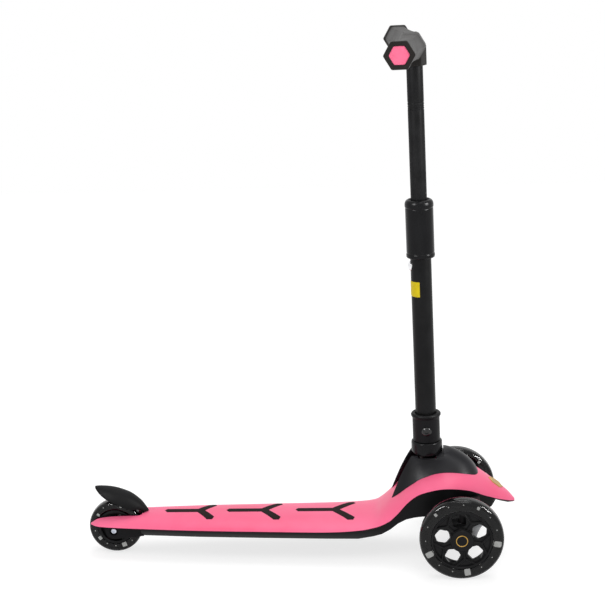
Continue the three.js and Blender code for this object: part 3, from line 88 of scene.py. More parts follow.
def columnRow(points):  # from the upright column straight to the frame
    return toRow(onColumn(points))


def gridFaces(rows, columns, closeRows=False, closeColumns=True):
    # quads between neighbouring rows and columns of a grid of points
    row, column = np.meshgrid(np.arange(rows if closeRows else rows - 1),
                              np.arange(columns if closeColumns else columns - 1), indexing="ij")
    nextRow, nextColumn = (row + 1) % rows, (column + 1) % columns
    return np.stack([row * columns + column, row * columns + nextColumn,
                     nextRow * columns + nextColumn, nextRow * columns + column], axis=-1).reshape(-1, 4)


def newObject(name, points, faces):
    mesh = bpy.data.meshes.new(name)
    mesh.from_pydata(np.asarray(points, float).reshape(-1, 3).tolist(), [], [list(face) for face in faces])
    item = bpy.data.objects.new(name, mesh)
    bpy.context.scene.collection.objects.link(item)
    return item


def tidyMesh(item, distance=1e-6):  # closes seams and poles and turns every face outwards
    work = bmesh.new()
    work.from_mesh(item.data)
    bmesh.ops.remove_doubles(work, verts=work.verts, dist=distance)
    bmesh.ops.dissolve_degenerate(work, edges=work.edges, dist=distance)
    bmesh.ops.recalc_face_normals(work, faces=work.faces)
    work.to_mesh(item.data)
    work.free()
    return item


def loftSolid(name, rings, convert=toRow):
    # rings of equally many points joined in turn, with a flat fan on both ends
    rings = np.asarray(rings, float)
    rows, columns = rings.shape[:2]
    points = np.concatenate([rings.reshape(-1, 3), rings[:1].mean(axis=1), rings[-1:].mean(axis=1)])
    faces = gridFaces(rows, columns).tolist()
    around = np.arange(columns)
    following = (around + 1) % columns
    first, last = rows * columns, rows * columns + 1
    faces += np.stack([np.full(columns, first), following, around], axis=-1).tolist()
    base = (rows - 1) * columns
    faces += np.stack([np.full(columns, last), base + around, base + following], axis=-1).tolist()
    return tidyMesh(newObject(name, convert(points), faces))


def turns(count):  # the angles of one round in equal steps
    return np.arange(count) * 2 * np.pi / count


def way(angle):  # the direction, or directions, at an angle
    return np.stack([np.cos(angle), np.sin(angle)], axis=-1)


def sideToSide(count):  # shares from -1 to 1 that lie closer together towards both ends, as a sine does
    return np.sin((np.arange(count + 1) / count - 0.5) * np.pi)


def hexagon(size, shares=(0,), turn=0.0):
    # points on the six sides of a hexagon, at the given shares of each side
    corners, t = way(turn + turns(6)) * size, np.asarray(shares, float)[:, None]
    return np.concatenate([corners[i] * (1 - t) + corners[(i + 1) % 6] * t for i in range(6)])


def softCorners(profile, radius=0.5, steps=3):
    # each corner of an open profile gives way to a short arc, a quadratic curve through its two neighbours
    profile = np.asarray(profile, float)
    made = [profile[:1]]
    for before, corner, after in zip(profile[:-2], profile[1:-1], profile[2:]):
        inward, outward = before - corner, after - corner
        reach = min(radius, 0.45 * np.linalg.norm(inward), 0.45 * np.linalg.norm(outward))
        start = corner + inward / np.linalg.norm(inward) * reach
        end = corner + outward / np.linalg.norm(outward) * reach
        t = np.linspace(0, 1, steps + 1)[:, None]
        made.append((1 - t) ** 2 * start + 2 * t * (1 - t) * corner + t ** 2 * end)
    made.append(profile[-1:])
    return np.concatenate(made)


def spin(name, profile, axis="z", centre=(0, 0, 0), sides=None, closed=False, convert=toRow, soft=0.5):
    # a profile of [radius, distance] pairs carried once round the named axis; a closed one goes back to its start
    sides = sides or facets["round"]
    profile = np.asarray(profile, float)
    if soft and closed:
        profile = softCorners(np.concatenate([profile[-1:], profile, profile[:1]]), soft)[1:-1]
    elif soft:
        profile = softCorners(profile, soft)
    angle = turns(sides)
    radius, distance = profile[:, 0][:, None], profile[:, 1][:, None]
    across, along, up = radius * np.cos(angle), distance + 0 * angle, radius * np.sin(angle)
    stack = {"x": (along, across, up), "y": (up, along, across), "z": (across, up, along)}[axis]
    points = np.stack(stack, axis=-1) + np.asarray(centre, float)
    faces = gridFaces(len(profile), sides, closeRows=closed)
    return tidyMesh(newObject(name, convert(points), faces))


def rod(name, radius, limits, axis="z", centre=(0, 0, 0), sides=None, convert=toRow):
    low, high = sorted(limits)
    return spin(name, [[0, low], [radius, low], [radius, high], [0, high]], axis, centre, sides, False, convert, 0)


def slab(name, xs, ys, zs):
    # a plain cutter between two limits along each axis
    (x0, x1), (y0, y1), heights = (sorted(limits) for limits in (xs, ys, zs))
    return loftSolid(name, [[[x0, y0, z], [x1, y0, z], [x1, y1, z], [x0, y1, z]] for z in heights])


def extrudeOutline(name, outline, limits, plane="xy", convert=toRow):
    # a flat outline carried straight between two limits across its plane
    outline = np.asarray(outline, float)
    count = len(outline)
    points = np.concatenate([np.insert(outline, 2 if plane == "xy" else 1, limit, axis=1) for limit in sorted(limits)])
    faces = gridFaces(2, count).tolist() + [list(range(count - 1, -1, -1)), list(range(count, 2 * count))]
    return tidyMesh(newObject(name, convert(points), faces))


def carve(body, operation, *tools):
    # body joined with or cut by each tool in turn, and the tools go
    for tool in tools:
        step = body.modifiers.new("carve", "BOOLEAN")
        step.operation, step.solver, step.object = operation, "MANIFOLD", tool
        shape = bpy.data.meshes.new_from_object(body.evaluated_get(bpy.context.evaluated_depsgraph_get()))
        body.modifiers.clear()
        body.data = shape
        bpy.data.objects.remove(tool)
    return body


def cut(body, *tools):
    return carve(body, "DIFFERENCE", *tools)


def join(body, *tools):
    return carve(body, "UNION", *tools)


def common(body, *tools):
    return carve(body, "INTERSECT", *tools)


def settle(item, name, look, body, stands=(), angle=35.0):
    # the piece takes its name, its finish, smooth faces with sharp edges from an angle on, and its place in the frame
    mesh = item.data
    item.name = mesh.name = name
    mesh.materials.clear()
    mesh.materials.append(finish[look])
    mesh.polygons.foreach_set("material_index", np.zeros(len(mesh.polygons), np.int32))
    mesh.polygons.foreach_set("use_smooth", np.ones(len(mesh.polygons), bool))
    mesh.set_sharp_from_angle(angle=math.radians(angle))
    mesh.update()
    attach(item, body)
    if stands:
        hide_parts(*stands)
    return item


# Finishes
# for each: dark and light shade, least and most rough, fineness of the clouds, depth and fineness of the grain, and
# what else its shader takes
looks = {
    "pinkShell": ("f25f86", "f86f96", (0.34, 0.44), 9, 0.05, 900, {"spec": 0.28, "coat": 0.02}),
    "pinkPlug": ("f25f86", "fa7499", (0.4, 0.5), 30, 0.05, 900, {}),
    "satinBlack": ("0b0b0c", "121214", (0.36, 0.48), 14, 0.12, 1400, {"spec": 0.1}),
    "fenderBlack": ("0e0e0f", "151517", (0.5, 0.6), 14, 0.12, 1400, {"spec": 0.08}),
    "cowlBlack": ("131315", "1b1b1f", (0.32, 0.4), 16, 0.08, 1500, {"spec": 0.12}),
    "glossBlack": ("0c0c0e", "131315", (0.16, 0.26), 25, 0.02, 700, {"spec": 0.13}),
    "tubeBlack": ("0f0f10", "161617", (0.33, 0.42), 40, 0.05, 2200, {"spec": 0.11}),
    "tubeSatin": ("1c1c1d", "232324", (0.38, 0.48), 60, 0.04, 2400, {"spec": 0.055}),
    "gripGrey": ("1b1917", "24211f", (0.5, 0.62), 35, 0.25, 1700, {"spec": 0.16, "sheen": 0.12}),
    "inlayRubber": ("160e0d", "211615", (0.75, 0.88), 60, 0.4, 1300, {"spec": 0.15}),
    "wheelBlack": ("0e0e0f", "161617", (0.3, 0.42), 30, 0.06, 1500, {"spec": 0.14}),
    "capBlack": ("0b0b0c", "121214", (0.2, 0.3), 40, 0.03, 1200, {"spec": 0.14}),
    "steel": ("9b9da1", "bfc1c4", (0.24, 0.38), 160, 0.04, 1600, {"metal": 1.0}),
    "brightSteel": ("a9aeb9", "cdd2dc", (0.2, 0.32), 160, 0.04, 1600, {"metal": 1.0}),
    "chrome": ("d9dadd", "ececee", (0.06, 0.12), 90, 0.01, 900, {"metal": 1.0}),
    "gold": ("a8843d", "cba35a", (0.28, 0.42), 120, 0.06, 1400, {"metal": 0.85}),
    "yellowPatch": ("ccb40c", "dac414", (0.38, 0.5), 90, 0.03, 1200, {"spec": 0.2}),
    "bushGrey": ("2c2c2e", "39393b", (0.5, 0.6), 70, 0.08, 1200, {"spec": 0.3}),
    "blackSteel": ("070708", "0e0e10", (0.1, 0.18), 90, 0.05, 1500, {"spec": 0.45}),
    # castGrey: behind gives the two places along x where it turns to the painted shade in paint, near black on the
    # knuckle's rear
    "castGrey": ("94959a", "b2b3b5", (0.42, 0.55), 55, 0.15, 1300,
                 {"spec": 0.4, "behind": (0.232, 0.238), "paint": "0e0e0f"}),
    # lightBlock: shine is a painted glow, so that the unlit silver blocks read bright through the dark clear tyre
    "lightBlock": ("c4c6c2", "e9e8e0", (0.3, 0.45), 160, 0.12, 900, {"shine": 1.3}),
    "tyreClear": ("3e3f42", "4c4d50", (0.02, 0.06), 26, 0, 0,
                  {"through": 1.0, "ior": 1.33, "detail": 3.0, "span": (0.3, 0.7)}),
}
lookKeys = ("dark", "light", "rough", "scale", "bump", "grain")
lookSockets = {"metal": "Metallic", "coat": "Coat Weight", "spec": "Specular IOR Level", "sheen": "Sheen Weight",
               "shine": "Emission Strength", "through": "Transmission Weight", "ior": "IOR"}


def tint(code):  # a colour as written on the web, in linear light
    value = np.array([int(code[i:i + 2], 16) / 255 for i in (0, 2, 4)])
    linear = np.where(value <= 0.04045, value / 12.92, ((value + 0.055) / 1.055) ** 2.4)
    return (*linear.tolist(), 1.0)


def setSockets(node, values):  # each socket takes the value given, or a link from the socket given
    for socket, value in values.items():
        if isinstance(value, bpy.types.NodeSocket):
            node.id_data.links.new(value, node.inputs[socket])
        else:
            node.inputs[socket].default_value = value
    return node


def addNode(tree, kind, values=None, **settings):
    node = tree.nodes.new("ShaderNode" + kind)
    for key, value in settings.items():
        setattr(node, key, value)
    return setSockets(node, values or {})


def makeFinish(name, look):
    # a colour that wanders between two shades, a roughness that wanders with it, and a fine moulded grain
    material = bpy.data.materials.new(name)
    material.use_nodes = True
    tree = material.node_tree
    spot = addNode(tree, "TexCoord").outputs["Object"]
    cloud = addNode(tree, "TexNoise", {"Vector": spot, "Scale": look["scale"], "Detail": look.get("detail", 5.0)})
    cloud = cloud.outputs["Fac"]
    ramp = addNode(tree, "ValToRGB", {"Fac": cloud})
    first, last = ramp.color_ramp.elements
    first.position, last.position = look.get("span", (0.35, 0.65))
    first.color, last.color = tint(look["dark"]), tint(look["light"])
    colour = ramp.outputs["Color"]
    if "behind" in look:  # painted shade: the rear of the casting turns near black between two places along x, where it lies in shadow
        along = addNode(tree, "SeparateXYZ", {"Vector": spot}).outputs["X"]
        low, high = look["behind"]
        share = addNode(tree, "MapRange", {"Value": along, "From Min": low, "From Max": high})
        paint = addNode(tree, "Mix", {"Factor": share.outputs["Result"], "A": tint(look["paint"]), "B": colour},
                        data_type="RGBA")
        colour = paint.outputs["Result"]
    low, high = look["rough"]
    wear = addNode(tree, "MapRange", {"Value": cloud, "From Min": 0.3, "From Max": 0.7, "To Min": low, "To Max": high})
    shader = setSockets(tree.nodes["Principled BSDF"], {
        "Base Color": colour, "Roughness": wear.outputs["Result"], "Coat Roughness": 0.12,
        "Emission Color": tint(look["light"])})
    setSockets(shader, {socket: look[key] for key, socket in lookSockets.items() if key in look})
    if look["bump"]:
        grain = addNode(tree, "TexNoise", {"Vector": spot, "Scale": look["grain"], "Detail": 2.0}).outputs["Fac"]
        bump = addNode(tree, "Bump", {"Height": grain, "Strength": look["bump"], "Distance": 0.0004})
        setSockets(shader, {"Normal": bump.outputs["Normal"]})
    return material


finish = {name: makeFinish(name, dict(zip(lookKeys, row), **more)) for name, (*row, more) in looks.items()}
print("finishes made")


# Deck form
deckShape = {"wheelbase": 511.7, "half": 57.0, "top": 61.5, "edge": 48.0, "saddle": 134.0, "arch": 116.0,
             "power": 2.6, "round": 0.8, "wall": 3.0}
# place along the wheelbase, half width, and the rises of crown and edge towards saddle and arch, all as shares
deckRows = np.array([
    [-1.069, 0.33, -0.145, 0.007], [-1.046, 0.5, -0.055, 0.007], [-1.0, 0.57, -0.014, 0.0],
    [-0.915, 0.645, 0, -0.007], [-0.75, 0.807, 0, 0], [-0.565, 0.904, 0, 0], [-0.38, 0.982, 0, 0.004],
    [-0.289, 1, 0, 0.044], [-0.244, 0.982, 0.021, 0.1], [-0.221, 0.974, 0.15, 0.154], [-0.197, 0.965, 0.325, 0.25],
    [-0.175, 0.982, 0.488, 0.419], [-0.152, 1.009, 0.65, 0.632], [-0.129, 1.035, 0.779, 0.794],
    [-0.106, 1.061, 0.89, 0.893], [-0.061, 1.105, 0.993, 0.993], [-0.018, 1.088, 1, 1], [0.028, 0.956, 0.924, 0.919],
    [0.072, 0.719, 0.745, 0.735], [0.092, 0.61, 0.648, 0.66], [0.104, 0.54, 0.59, 0.611],
    [0.117, 0.456, 0.517, 0.563], [0.141, 0.272, 0.379, 0.476], [0.154, 0.14, 0.283, 0.426],
    [0.1614, 0.061, 0.221, 0.404]])


def throughRows(rows, count):  # a smooth curve through every row of a table, a uniform Catmull-Rom
    padded = np.concatenate([2 * rows[:1] - rows[1:2], rows, 2 * rows[-1:] - rows[-2:-1]])
    t = np.linspace(0, len(rows) - 1, count)
    k = np.clip(t.astype(int), 0, len(rows) - 2)
    u = (t - k)[:, None]
    a, b, c, d = (padded[k + i] for i in range(4))
    return 0.5 * (2 * b + (c - a) * u + (2 * a - 5 * b + 4 * c - d) * u ** 2 + (3 * b - a - 3 * c + d) * u ** 3)


def deckStations(shape, rows, count=220):
    line = throughRows(rows, count)
    return {"x": line[:, 0] * shape["wheelbase"], "half": line[:, 1] * shape["half"],
            "top": shape["top"] + line[:, 2] * (shape["saddle"] - shape["top"]),
            "edge": shape["edge"] + line[:, 3] * (shape["arch"] - shape["edge"])}


stations = deckStations(deckShape, deckRows)
noseX, deckTailX = stations["x"][-1], stations["x"][0]
rearAxleX = -deckShape["wheelbase"]


def deckAt(x):
    return {key: np.interp(x, stations["x"], stations[key]) for key in ("half", "top", "edge")}


def crownRise(share):
    return (1 - np.clip(np.abs(share), 0, 1) ** deckShape["power"]) ** deckShape["round"]


def deckHeight(x, y):
    at = deckAt(x)
    return at["edge"] + (at["top"] - at["edge"]) * crownRise(np.asarray(y) / at["half"])


def deckBody(name, inset=0.0, below=0.0, fromX=None, toX=None, across=56):
    # sections across the deck whose crown rises as a superellipse, with a floor set below the edge
    fromX = deckTailX if fromX is None else fromX
    toX = noseX if toX is None else toX
    inside = stations["x"][(stations["x"] > fromX + 0.3) & (stations["x"] < toX - 0.3)]
    x = np.concatenate([[fromX], inside, [toX]])
    at = deckAt(x)
    width = np.maximum(at["half"] - inset, 0.3)[:, None]
    crown = np.maximum(at["top"] - inset, at["edge"] + 0.3)[:, None]
    t = sideToSide(across)
    z = at["edge"][:, None] + (crown - at["edge"][:, None]) * crownRise(t)
    ring = np.stack([np.broadcast_to(x[:, None], z.shape), -width * t, z], axis=-1)
    if below > 0:
        low = at["edge"] - below
        corners = [np.stack([x, side * width[:, 0], low], axis=-1)[:, None] for side in (-1, 1)]
        ring = np.concatenate([ring, *corners], axis=1)
    return loftSolid(name, ring)


# Deck shell with its inlays and badge
shellCuts = {"slotFront": rearAxleX + 44, "slotWidth": 30.6, "slotBack": rearAxleX - 90, "corner": 6, "noseLip": 12,
             "openBack": -71.2, "openFront": -14.2, "openHalf": 21, "openTop": 160, "wheelRadius": 40, "clear": 1.2}
inlayShape = {"stroke": 12.4, "proud": 0.45,
              "rear": {"stem": -0.859, "fork": -0.752, "tip": -0.708, "width": 56},
              "middle": {"stem": -0.678, "fork": -0.566, "tip": -0.514, "width": 62},
              "front": {"stem": -0.476, "fork": -0.359, "tip": -0.3, "width": 68},
              "soft": 0.35, "rim": 0.2, "wall": 0.0012, "weld": 2e-5}  # wall and weld in metres
badgeShape = {"x": 55.0, "length": 26.0, "width": 20.0, "proud": 0.8, "thick": 1.6,  # and shares of size and thickness
              "rise": ((1.0, 0), (1.0, 0.62), (0.97, 0.9), (0.9, 1.0), (0.84, 0.8), (0.8, 0.78), (0.4, 0.82),
                       (0.02, 0.84))}


def inlayLimbs(shape):
    # three limbs from the fork: each runs from the line halfway to its neighbour out to a pointed end
    stroke = inlayShape["stroke"]
    reach = (shape["width"] - stroke / 2) / 2
    fork = np.array([shape["fork"] * deckShape["wheelbase"], 0.0])
    tip = shape["tip"] * deckShape["wheelbase"] - stroke / 3
    stem = shape["stem"] * deckShape["wheelbase"] + stroke / 2
    opening = math.atan2(reach, tip - fork[0])
    beside = (math.pi - opening) / 2
    arm = math.hypot(reach, tip - fork[0])
    return fork, [(math.pi, fork[0] - stem, beside, beside), (opening, arm, opening, beside),
                  (-opening, arm, beside, opening)]


def inlaySurface(shape, alongCount=40, acrossCount=20):
    # points of one Y in plan, limb by limb, with each point's share of the way out to the edge
    fork, limbs = inlayLimbs(shape)
    half = inlayShape["stroke"] / 2
    u = np.linspace(0, 1, alongCount)[:, None]
    v = np.linspace(-1, 1, acrossCount + 1)[None, :]
    for heading, length, right, left in limbs:
        start = half * np.abs(v) / np.tan(np.where(v < 0, right, left))
        end = length + inlayShape["stroke"] / 3 * (1 - np.abs(v))
        side = half * v + 0 * u
        if heading != math.pi:  # an arm stops where its side reaches the inlay's full width
            room = shape["width"] / 2 - np.sign(heading) * side[:1] * math.cos(heading)
            end = np.maximum(np.minimum(end, room / abs(math.sin(heading))), start)
        forward = start + (end - start) * u
        x = fork[0] + forward * math.cos(heading) - side * math.sin(heading)
        y = fork[1] + forward * math.sin(heading) + side * math.cos(heading)
        yield x, y, np.abs(v) + 0 * u


def makeInlay(shape):
    # the Y laid on the crown, its surface falling with the square of the way over the soft rim, and a wall down
    # into the shell
    at = inlayShape
    points, faces, start = [], [], 0
    for x, y, edge in inlaySurface(shape):
        rise = at["proud"] - at["soft"] * np.clip((edge - 1 + at["rim"]) / at["rim"], 0, 1) ** 2
        points.append(np.stack([x, y, deckHeight(x, y) + rise], axis=-1).reshape(-1, 3))
        faces += (gridFaces(*x.shape, closeColumns=False) + start).tolist()
        start += x.size
    item = tidyMesh(newObject("inlay", toRow(np.concatenate(points)), faces), at["weld"])
    if sum(face.normal.z for face in item.data.polygons) < 0:
        item.data.flip_normals()
    wall = item.modifiers.new("wall", "SOLIDIFY")
    wall.thickness, wall.offset = at["wall"], -1.0
    return item


def makeShell():
    at, wall, tall = shellCuts, deckShape["wall"], (0, deckShape["saddle"])
    cavity = deckBody("cavity", wall, fits["over"], at["slotFront"] - wall, noseX - at["noseLip"])
    half, corner = at["slotWidth"] / 2, at["corner"]
    slotEnd = rearAxleX + at["wheelRadius"] + at["clear"]
    wide = slab("wide", (at["slotBack"], slotEnd - corner), (-half, half), tall)
    corners = [rod("corner", corner, tall, "z", (slotEnd - corner, side * (half - corner), 0), facets["pin"])
               for side in (1, -1)]
    middle = slab("middle", (slotEnd - fits["over"], slotEnd), (corner - half, half - corner), tall)
    notch = slab("notch", (rearAxleX, at["slotFront"]), (-half / 2, half / 2), tall)
    opening = slab("opening", (at["openBack"], at["openFront"]), (-at["openHalf"], at["openHalf"]),
                   (deckShape["top"], at["openTop"]))
    return cut(deckBody("shell"), cavity, wide, *corners, middle, notch, opening)


def makeBadge():
    # a six-sided plate with rounded rim, lying on the slope of the nose
    at = badgeShape
    outline = hexagon([at["length"] / 2, at["width"] / math.sqrt(3)], np.arange(8) / 8)
    ahead, level, behind = (float(deckHeight(at["x"] + step, 0)) for step in (at["length"] / 2, 0, -at["length"] / 2))
    slope = math.atan2(behind - ahead, at["length"])
    rings = []
    for share, height in at["rise"]:
        lift = at["proud"] - at["thick"] + height * at["thick"]
        flat = outline * share
        rings.append(np.stack([at["x"] + flat[:, 0] * math.cos(slope) + lift * math.sin(slope), flat[:, 1],
                               level - flat[:, 0] * math.sin(slope) + lift * math.cos(slope)], axis=-1))
    return loftSolid("badge", rings)


settle(makeShell(), "deckShell", "pinkShell", "deck", ["deck_shell"], 32)
for spot in ("rear", "middle", "front"):
    settle(makeInlay(inlayShape[spot]), "gripInlay" + spot.title(), "inlayRubber", "deck",
           ["grip_inlay_" + spot], 50)
settle(makeBadge(), "noseBadge", "gold", "deck", ["nose_badge"], 25)
print("deck shell, inlays and badge made")


# Cowl over the foot of the column
cowlShape = {"wall": 2.6, "clear": 1.4, "top": 158.0, "front": (29.0, -12.0, 1.35), "back": (-105.0, -74.0, 0.9),
             "half": (36.5, 24.0, 1.7), "middle": -45.0, "sag": 9.0, "blunt": (0.6, 0.75), "backBlunt": (0.9, 0.85),
             "crest": 0.93, "under": 0.25, "open": (20.0, 16.5), "openFront": (-71.2, -57.0), "openTop": 160.0,
             "foot": 55.0, "collar": 22.8, "stem": 11.0, "run": 1.2, "aside": 69.0}


def cowlForm(name, inset, levels=40, points=112):
    # rings that shrink with height from the deck's own line to the crest; in plan each is a cosine and a sine raised
    # to powers that turn from blunt at the deck to plain at the crest
    shape = cowlShape
    crest = shape["crest"]
    level = np.concatenate([[-shape["under"]], np.linspace(0, crest, levels),
                            1 - (1 - crest) * (1 - np.linspace(0, 1, 9)[1:]) ** 2])[:, None]
    held = np.clip(level, 0, 1)
    inward = inset + shape["wall"] * np.clip((held - crest) / (1 - crest), 0, 1) ** 2
    (frontLow, frontHigh, frontPower), (backLow, backHigh, backPower) = shape["front"], shape["back"]
    halfLow, halfHigh, halfPower = shape["half"]
    front = frontLow + (frontHigh - frontLow) * held ** frontPower - inward
    back = backLow + (backHigh - backLow) * held ** backPower + inward
    half = halfLow + (halfHigh - halfLow) * (1 - (1 - held) ** halfPower) - inward
    middle = shape["middle"] + (place["pivotX"] - shape["middle"]) * held
    angle = turns(points)
    ahead, across = np.cos(angle), np.sin(angle)
    reach = np.where(ahead > 0, front - middle, middle - back)
    power = [1 + (1 - held) * (np.where(ahead > 0, shape["blunt"][k], shape["backBlunt"][k]) - 1) for k in range(2)]
    x = middle + np.sign(ahead) * reach * np.abs(ahead) ** power[0]
    y = half * np.sign(across) * np.abs(across) ** power[1]
    low = deckHeight(x, y)
    crown = shape["top"] - inset - shape["sag"] * (y / halfLow) ** 2
    return loftSolid(name, np.stack([x, y, low + (crown - low) * level], axis=-1))


def makeCowl():
    shape = cowlShape
    trough = shape["foot"] - shape["clear"]
    reach = (shape["back"][0] - fits["over"], shape["front"][0] + fits["over"])
    pivot, above = (0, 0, place["pivotZ"]), (place["pivotZ"], shape["top"] + fits["over"])
    hollow = common(cowlForm("hollow", shape["wall"]),
                    rod("room", trough - shape["wall"], reach, "x", pivot, facets["trough"]))
    footX = place["pivotX"] - shape["foot"] * math.tan(place["rake"])
    wide = slab("wide", (reach[0], footX + shape["collar"] + shape["clear"]), (-shape["aside"], shape["aside"]), above)
    wide = cut(wide, rod("dome", trough, (reach[0] - 1, reach[1]), "x", pivot, facets["trough"]))
    slotHalf = shape["stem"] + shape["run"] + shape["foot"] * math.sin(math.radians(place["limit"]))
    slotX = shape["stem"] + 2 * shape["run"]
    slot = slab("slot", (footX - slotX, footX + slotX), (-slotHalf, slotHalf), above)
    # the way in between the flanks narrows a little and leans forward on its way up
    share = np.linspace(0, 1, 24)
    wideAt, frontAt = (shape[key][0] + (shape[key][1] - shape[key][0]) * share for key in ("open", "openFront"))
    heights = deckShape["top"] + (shape["openTop"] - deckShape["top"]) * share
    door = loftSolid("door", [[[reach[0], -w, z], [f, -w, z], [f, w, z], [reach[0], w, z]]
                              for w, f, z in zip(wideAt, frontAt, heights)])
    seat = deckBody("seat", -fits["gap"], fits["over"])
    return cut(cowlForm("cowl", 0.0), hollow, wide, slot, door, seat)


settle(makeCowl(), "frontCowl", "cowlBlack", "deck", ["front_cowl"], 32)
print("cowl made")


# Rear fender brake
fenderShape = {"hingeX": rearAxleX + 48.7, "hingeZ": 49.0, "length": 79.5, "root": 22.2, "rise": 39.8, "half": 20.5,
               "depth": 16.5, "ahead": 2.0, "wall": 2.6, "clear": 1.5, "wheel": 40.0}
fenderRows = np.array([
    [0, 0, 0.12, 0.12], [0.057, 0.158, 0.44, 0.3], [0.132, 0.36, 0.756, 0.7], [0.226, 0.535, 0.927, 1.0],
    [0.34, 0.7, 1, 1.1], [0.478, 0.82, 1, 1.05], [0.629, 0.915, 0.976, 0.97], [0.767, 0.965, 0.854, 0.8],
    [0.893, 0.99, 0.61, 0.5], [0.969, 0.998, 0.317, 0.24], [1, 1, 0.1, 0.12]])
padShape = {"half": 7.0, "clear": 2.7, "from": 66.0, "to": 109.0}
lugShape = {"half": 5.5, "width": 4.5, "behind": 5.2, "rise": 22.0, "knee": 8.0, "barrel": 4.5, "barrelHalf": 7.0,
            "bore": 2.3, "room": 5.6, "roomReach": 9.0}


def fenderBody(name, inset, count=72, across=36, ends=0):
    # sections square to a rising line, each a crown that falls away to its sides
    shape = fenderShape
    row = throughRows(fenderRows, count + 1)[ends:count + 1 - ends]
    x = shape["hingeX"] + shape["ahead"] - row[:, 0] * shape["length"]
    z = shape["wheel"] + shape["root"] + row[:, 1] * shape["rise"]
    travelX, travelZ = np.gradient(x), np.gradient(z)
    size = np.hypot(travelX, travelZ)
    outX, outZ = travelZ / size, -travelX / size
    t = sideToSide(across)
    fall = row[:, 3][:, None] * shape["depth"] * (1 - crownRise(t)) + inset
    half = np.maximum(row[:, 2] * shape["half"] - inset, 0.3)[:, None]
    ring = np.stack([x[:, None] - outX[:, None] * fall, half * t, z[:, None] - outZ[:, None] * fall], axis=-1)
    return loftSolid(name, ring)


def makeFender():
    shape, lug = fenderShape, lugShape
    outer = cut(fenderBody("fender", 0.0), fenderBody("under", shape["wall"], ends=4))
    angle = np.radians(np.linspace(padShape["from"], padShape["to"], 24))
    near, far = shape["wheel"] + padShape["clear"], shape["wheel"] + shape["rise"]
    arc = np.concatenate([near * way(angle), far * way(angle)[::-1]])
    rib = extrudeOutline("rib", arc + [rearAxleX, shape["wheel"]], (-padShape["half"], padShape["half"]), "xz")
    rib = common(rib, fenderBody("bound", 0.0))
    covered = cut(join(outer, rib), deckBody("clear", -shape["clear"]))
    x, z = shape["hingeX"], shape["hingeZ"]
    lugX = x - lug["behind"]
    outline = [[x - lug["barrel"] / 2, z - lug["barrel"] / 2], [x + lug["barrel"] / 2, z + lug["barrel"] / 3],
               [lugX, z + lug["knee"]], [lugX, z + lug["rise"]], [lugX - lug["width"], z + lug["rise"]],
               [lugX - lug["width"], z + lug["knee"]]]
    stem = extrudeOutline("lug", outline, (-lug["half"], lug["half"]), "xz")
    barrel = rod("barrel", lug["barrel"], (-lug["barrelHalf"], lug["barrelHalf"]), "y", (x, 0, z), facets["pin"])
    room = lug["roomReach"]
    spring = slab("spring", (x - room, x + room), (-lug["room"] / 2, lug["room"] / 2),
                  (z - room, z + lug["knee"] - fits["gap"]))
    bore = rod("bore", lug["bore"], (-fits["over"], fits["over"]), "y", (x, 0, z), facets["pin"])
    return cut(join(covered, cut(join(stem, barrel), spring)), bore)


settle(makeFender(), "brakeFender", "fenderBlack", "brake", ["brake_fender"])
print("fender made")


# Column
columnShape = {"tube": 15.0, "upper": 11.5, "wall": 1.8, "socket": 19.8, "flare": 2.0, "collar": 22.3, "sleeve": 20.5,
               "foot": 55.0, "collarTop": 70.5, "socketTop": 113.4, "neck": 13.0, "stem": 11.0, "boreFloor": 76.0,
               "sleeveLow": 344.5, "sleeveTop": 428.5, "lowerTop": 420.3, "upperLow": 272.0, "upperTop": 634.0,
               "hub": 15.0, "hubHalf": 20.0, "lever": 36.0, "leverHalf": 5.0, "bush": 8.0, "skirt": 3.5,
               "marks": (556.0, 558.6, 561.2, 565.2), "mark": ((-0.8, 0), (-0.3, 0.45), (0.3, 0.45), (0.8, 0))}
bandShape = {"low": 289.0, "high": 311.0, "turn": (170, 258), "under": 0.12, "over": 0.6, "soft": 0.0375}
buttonShape = {"height": 332.0, "hole": 8.0, "floor": -11.9, "back": -13.7,
               "dome": ((0, -18.5), (2.2, -18.4), (4.4, -18.0), (6.0, -17.2), (7.1, -16.2), (7.7, -15.1))}
socketBolt = {"radius": 7.0, "thick": 3.2, "y": -20.1, "height": 89.0, "shank": 3.0, "length": 45.3, "key": 2.9,
              "keyDeep": 1.9}


def turnedOnColumn(name, profile, closed=True, soft=0.5):
    return spin(name, profile, "z", (0, 0, 0), None, closed, columnRow, soft)


def makeSocket():
    shape = columnShape
    out, top = shape["socket"], shape["socketTop"]
    rim, neckTop, flareLow = out + shape["flare"], shape["collarTop"] + fits["gap"], top - 6
    bore = shape["tube"] + fits["gap"]
    stem = turnedOnColumn("stem", [
        [0, 0], [shape["stem"], 0], [shape["stem"], shape["foot"] - cowlShape["clear"]], [shape["neck"], shape["foot"]],
        [shape["neck"], neckTop], [out, neckTop], [out, flareLow - 2.4], [out + 0.4, flareLow - 0.8],
        [rim - 0.7, flareLow + 0.4], [rim, flareLow + 2.2], [rim - 0.1, top - 2.6], [rim - 0.9, top - 1.1],
        [rim - 2.2, top - 0.3], [bore + 1.4, top - 0.5], [bore, top - 1.6], [bore, shape["boreFloor"]],
        [0, shape["boreFloor"]]], closed=False, soft=0.6)
    pivot = (place["pivotX"], 0, place["pivotZ"])
    hub = rod("hub", shape["hub"], (-shape["hubHalf"], shape["hubHalf"]), "x", pivot)
    lever = rod("lever", shape["leverHalf"], (-shape["lever"] - 4, -shape["bush"]), "z", pivot, facets["pin"])
    hole = rod("hole", shape["bush"] + fits["gap"], (-2 * fits["over"], 2 * fits["over"]), "x", pivot)
    return cut(join(stem, hub, lever), hole)


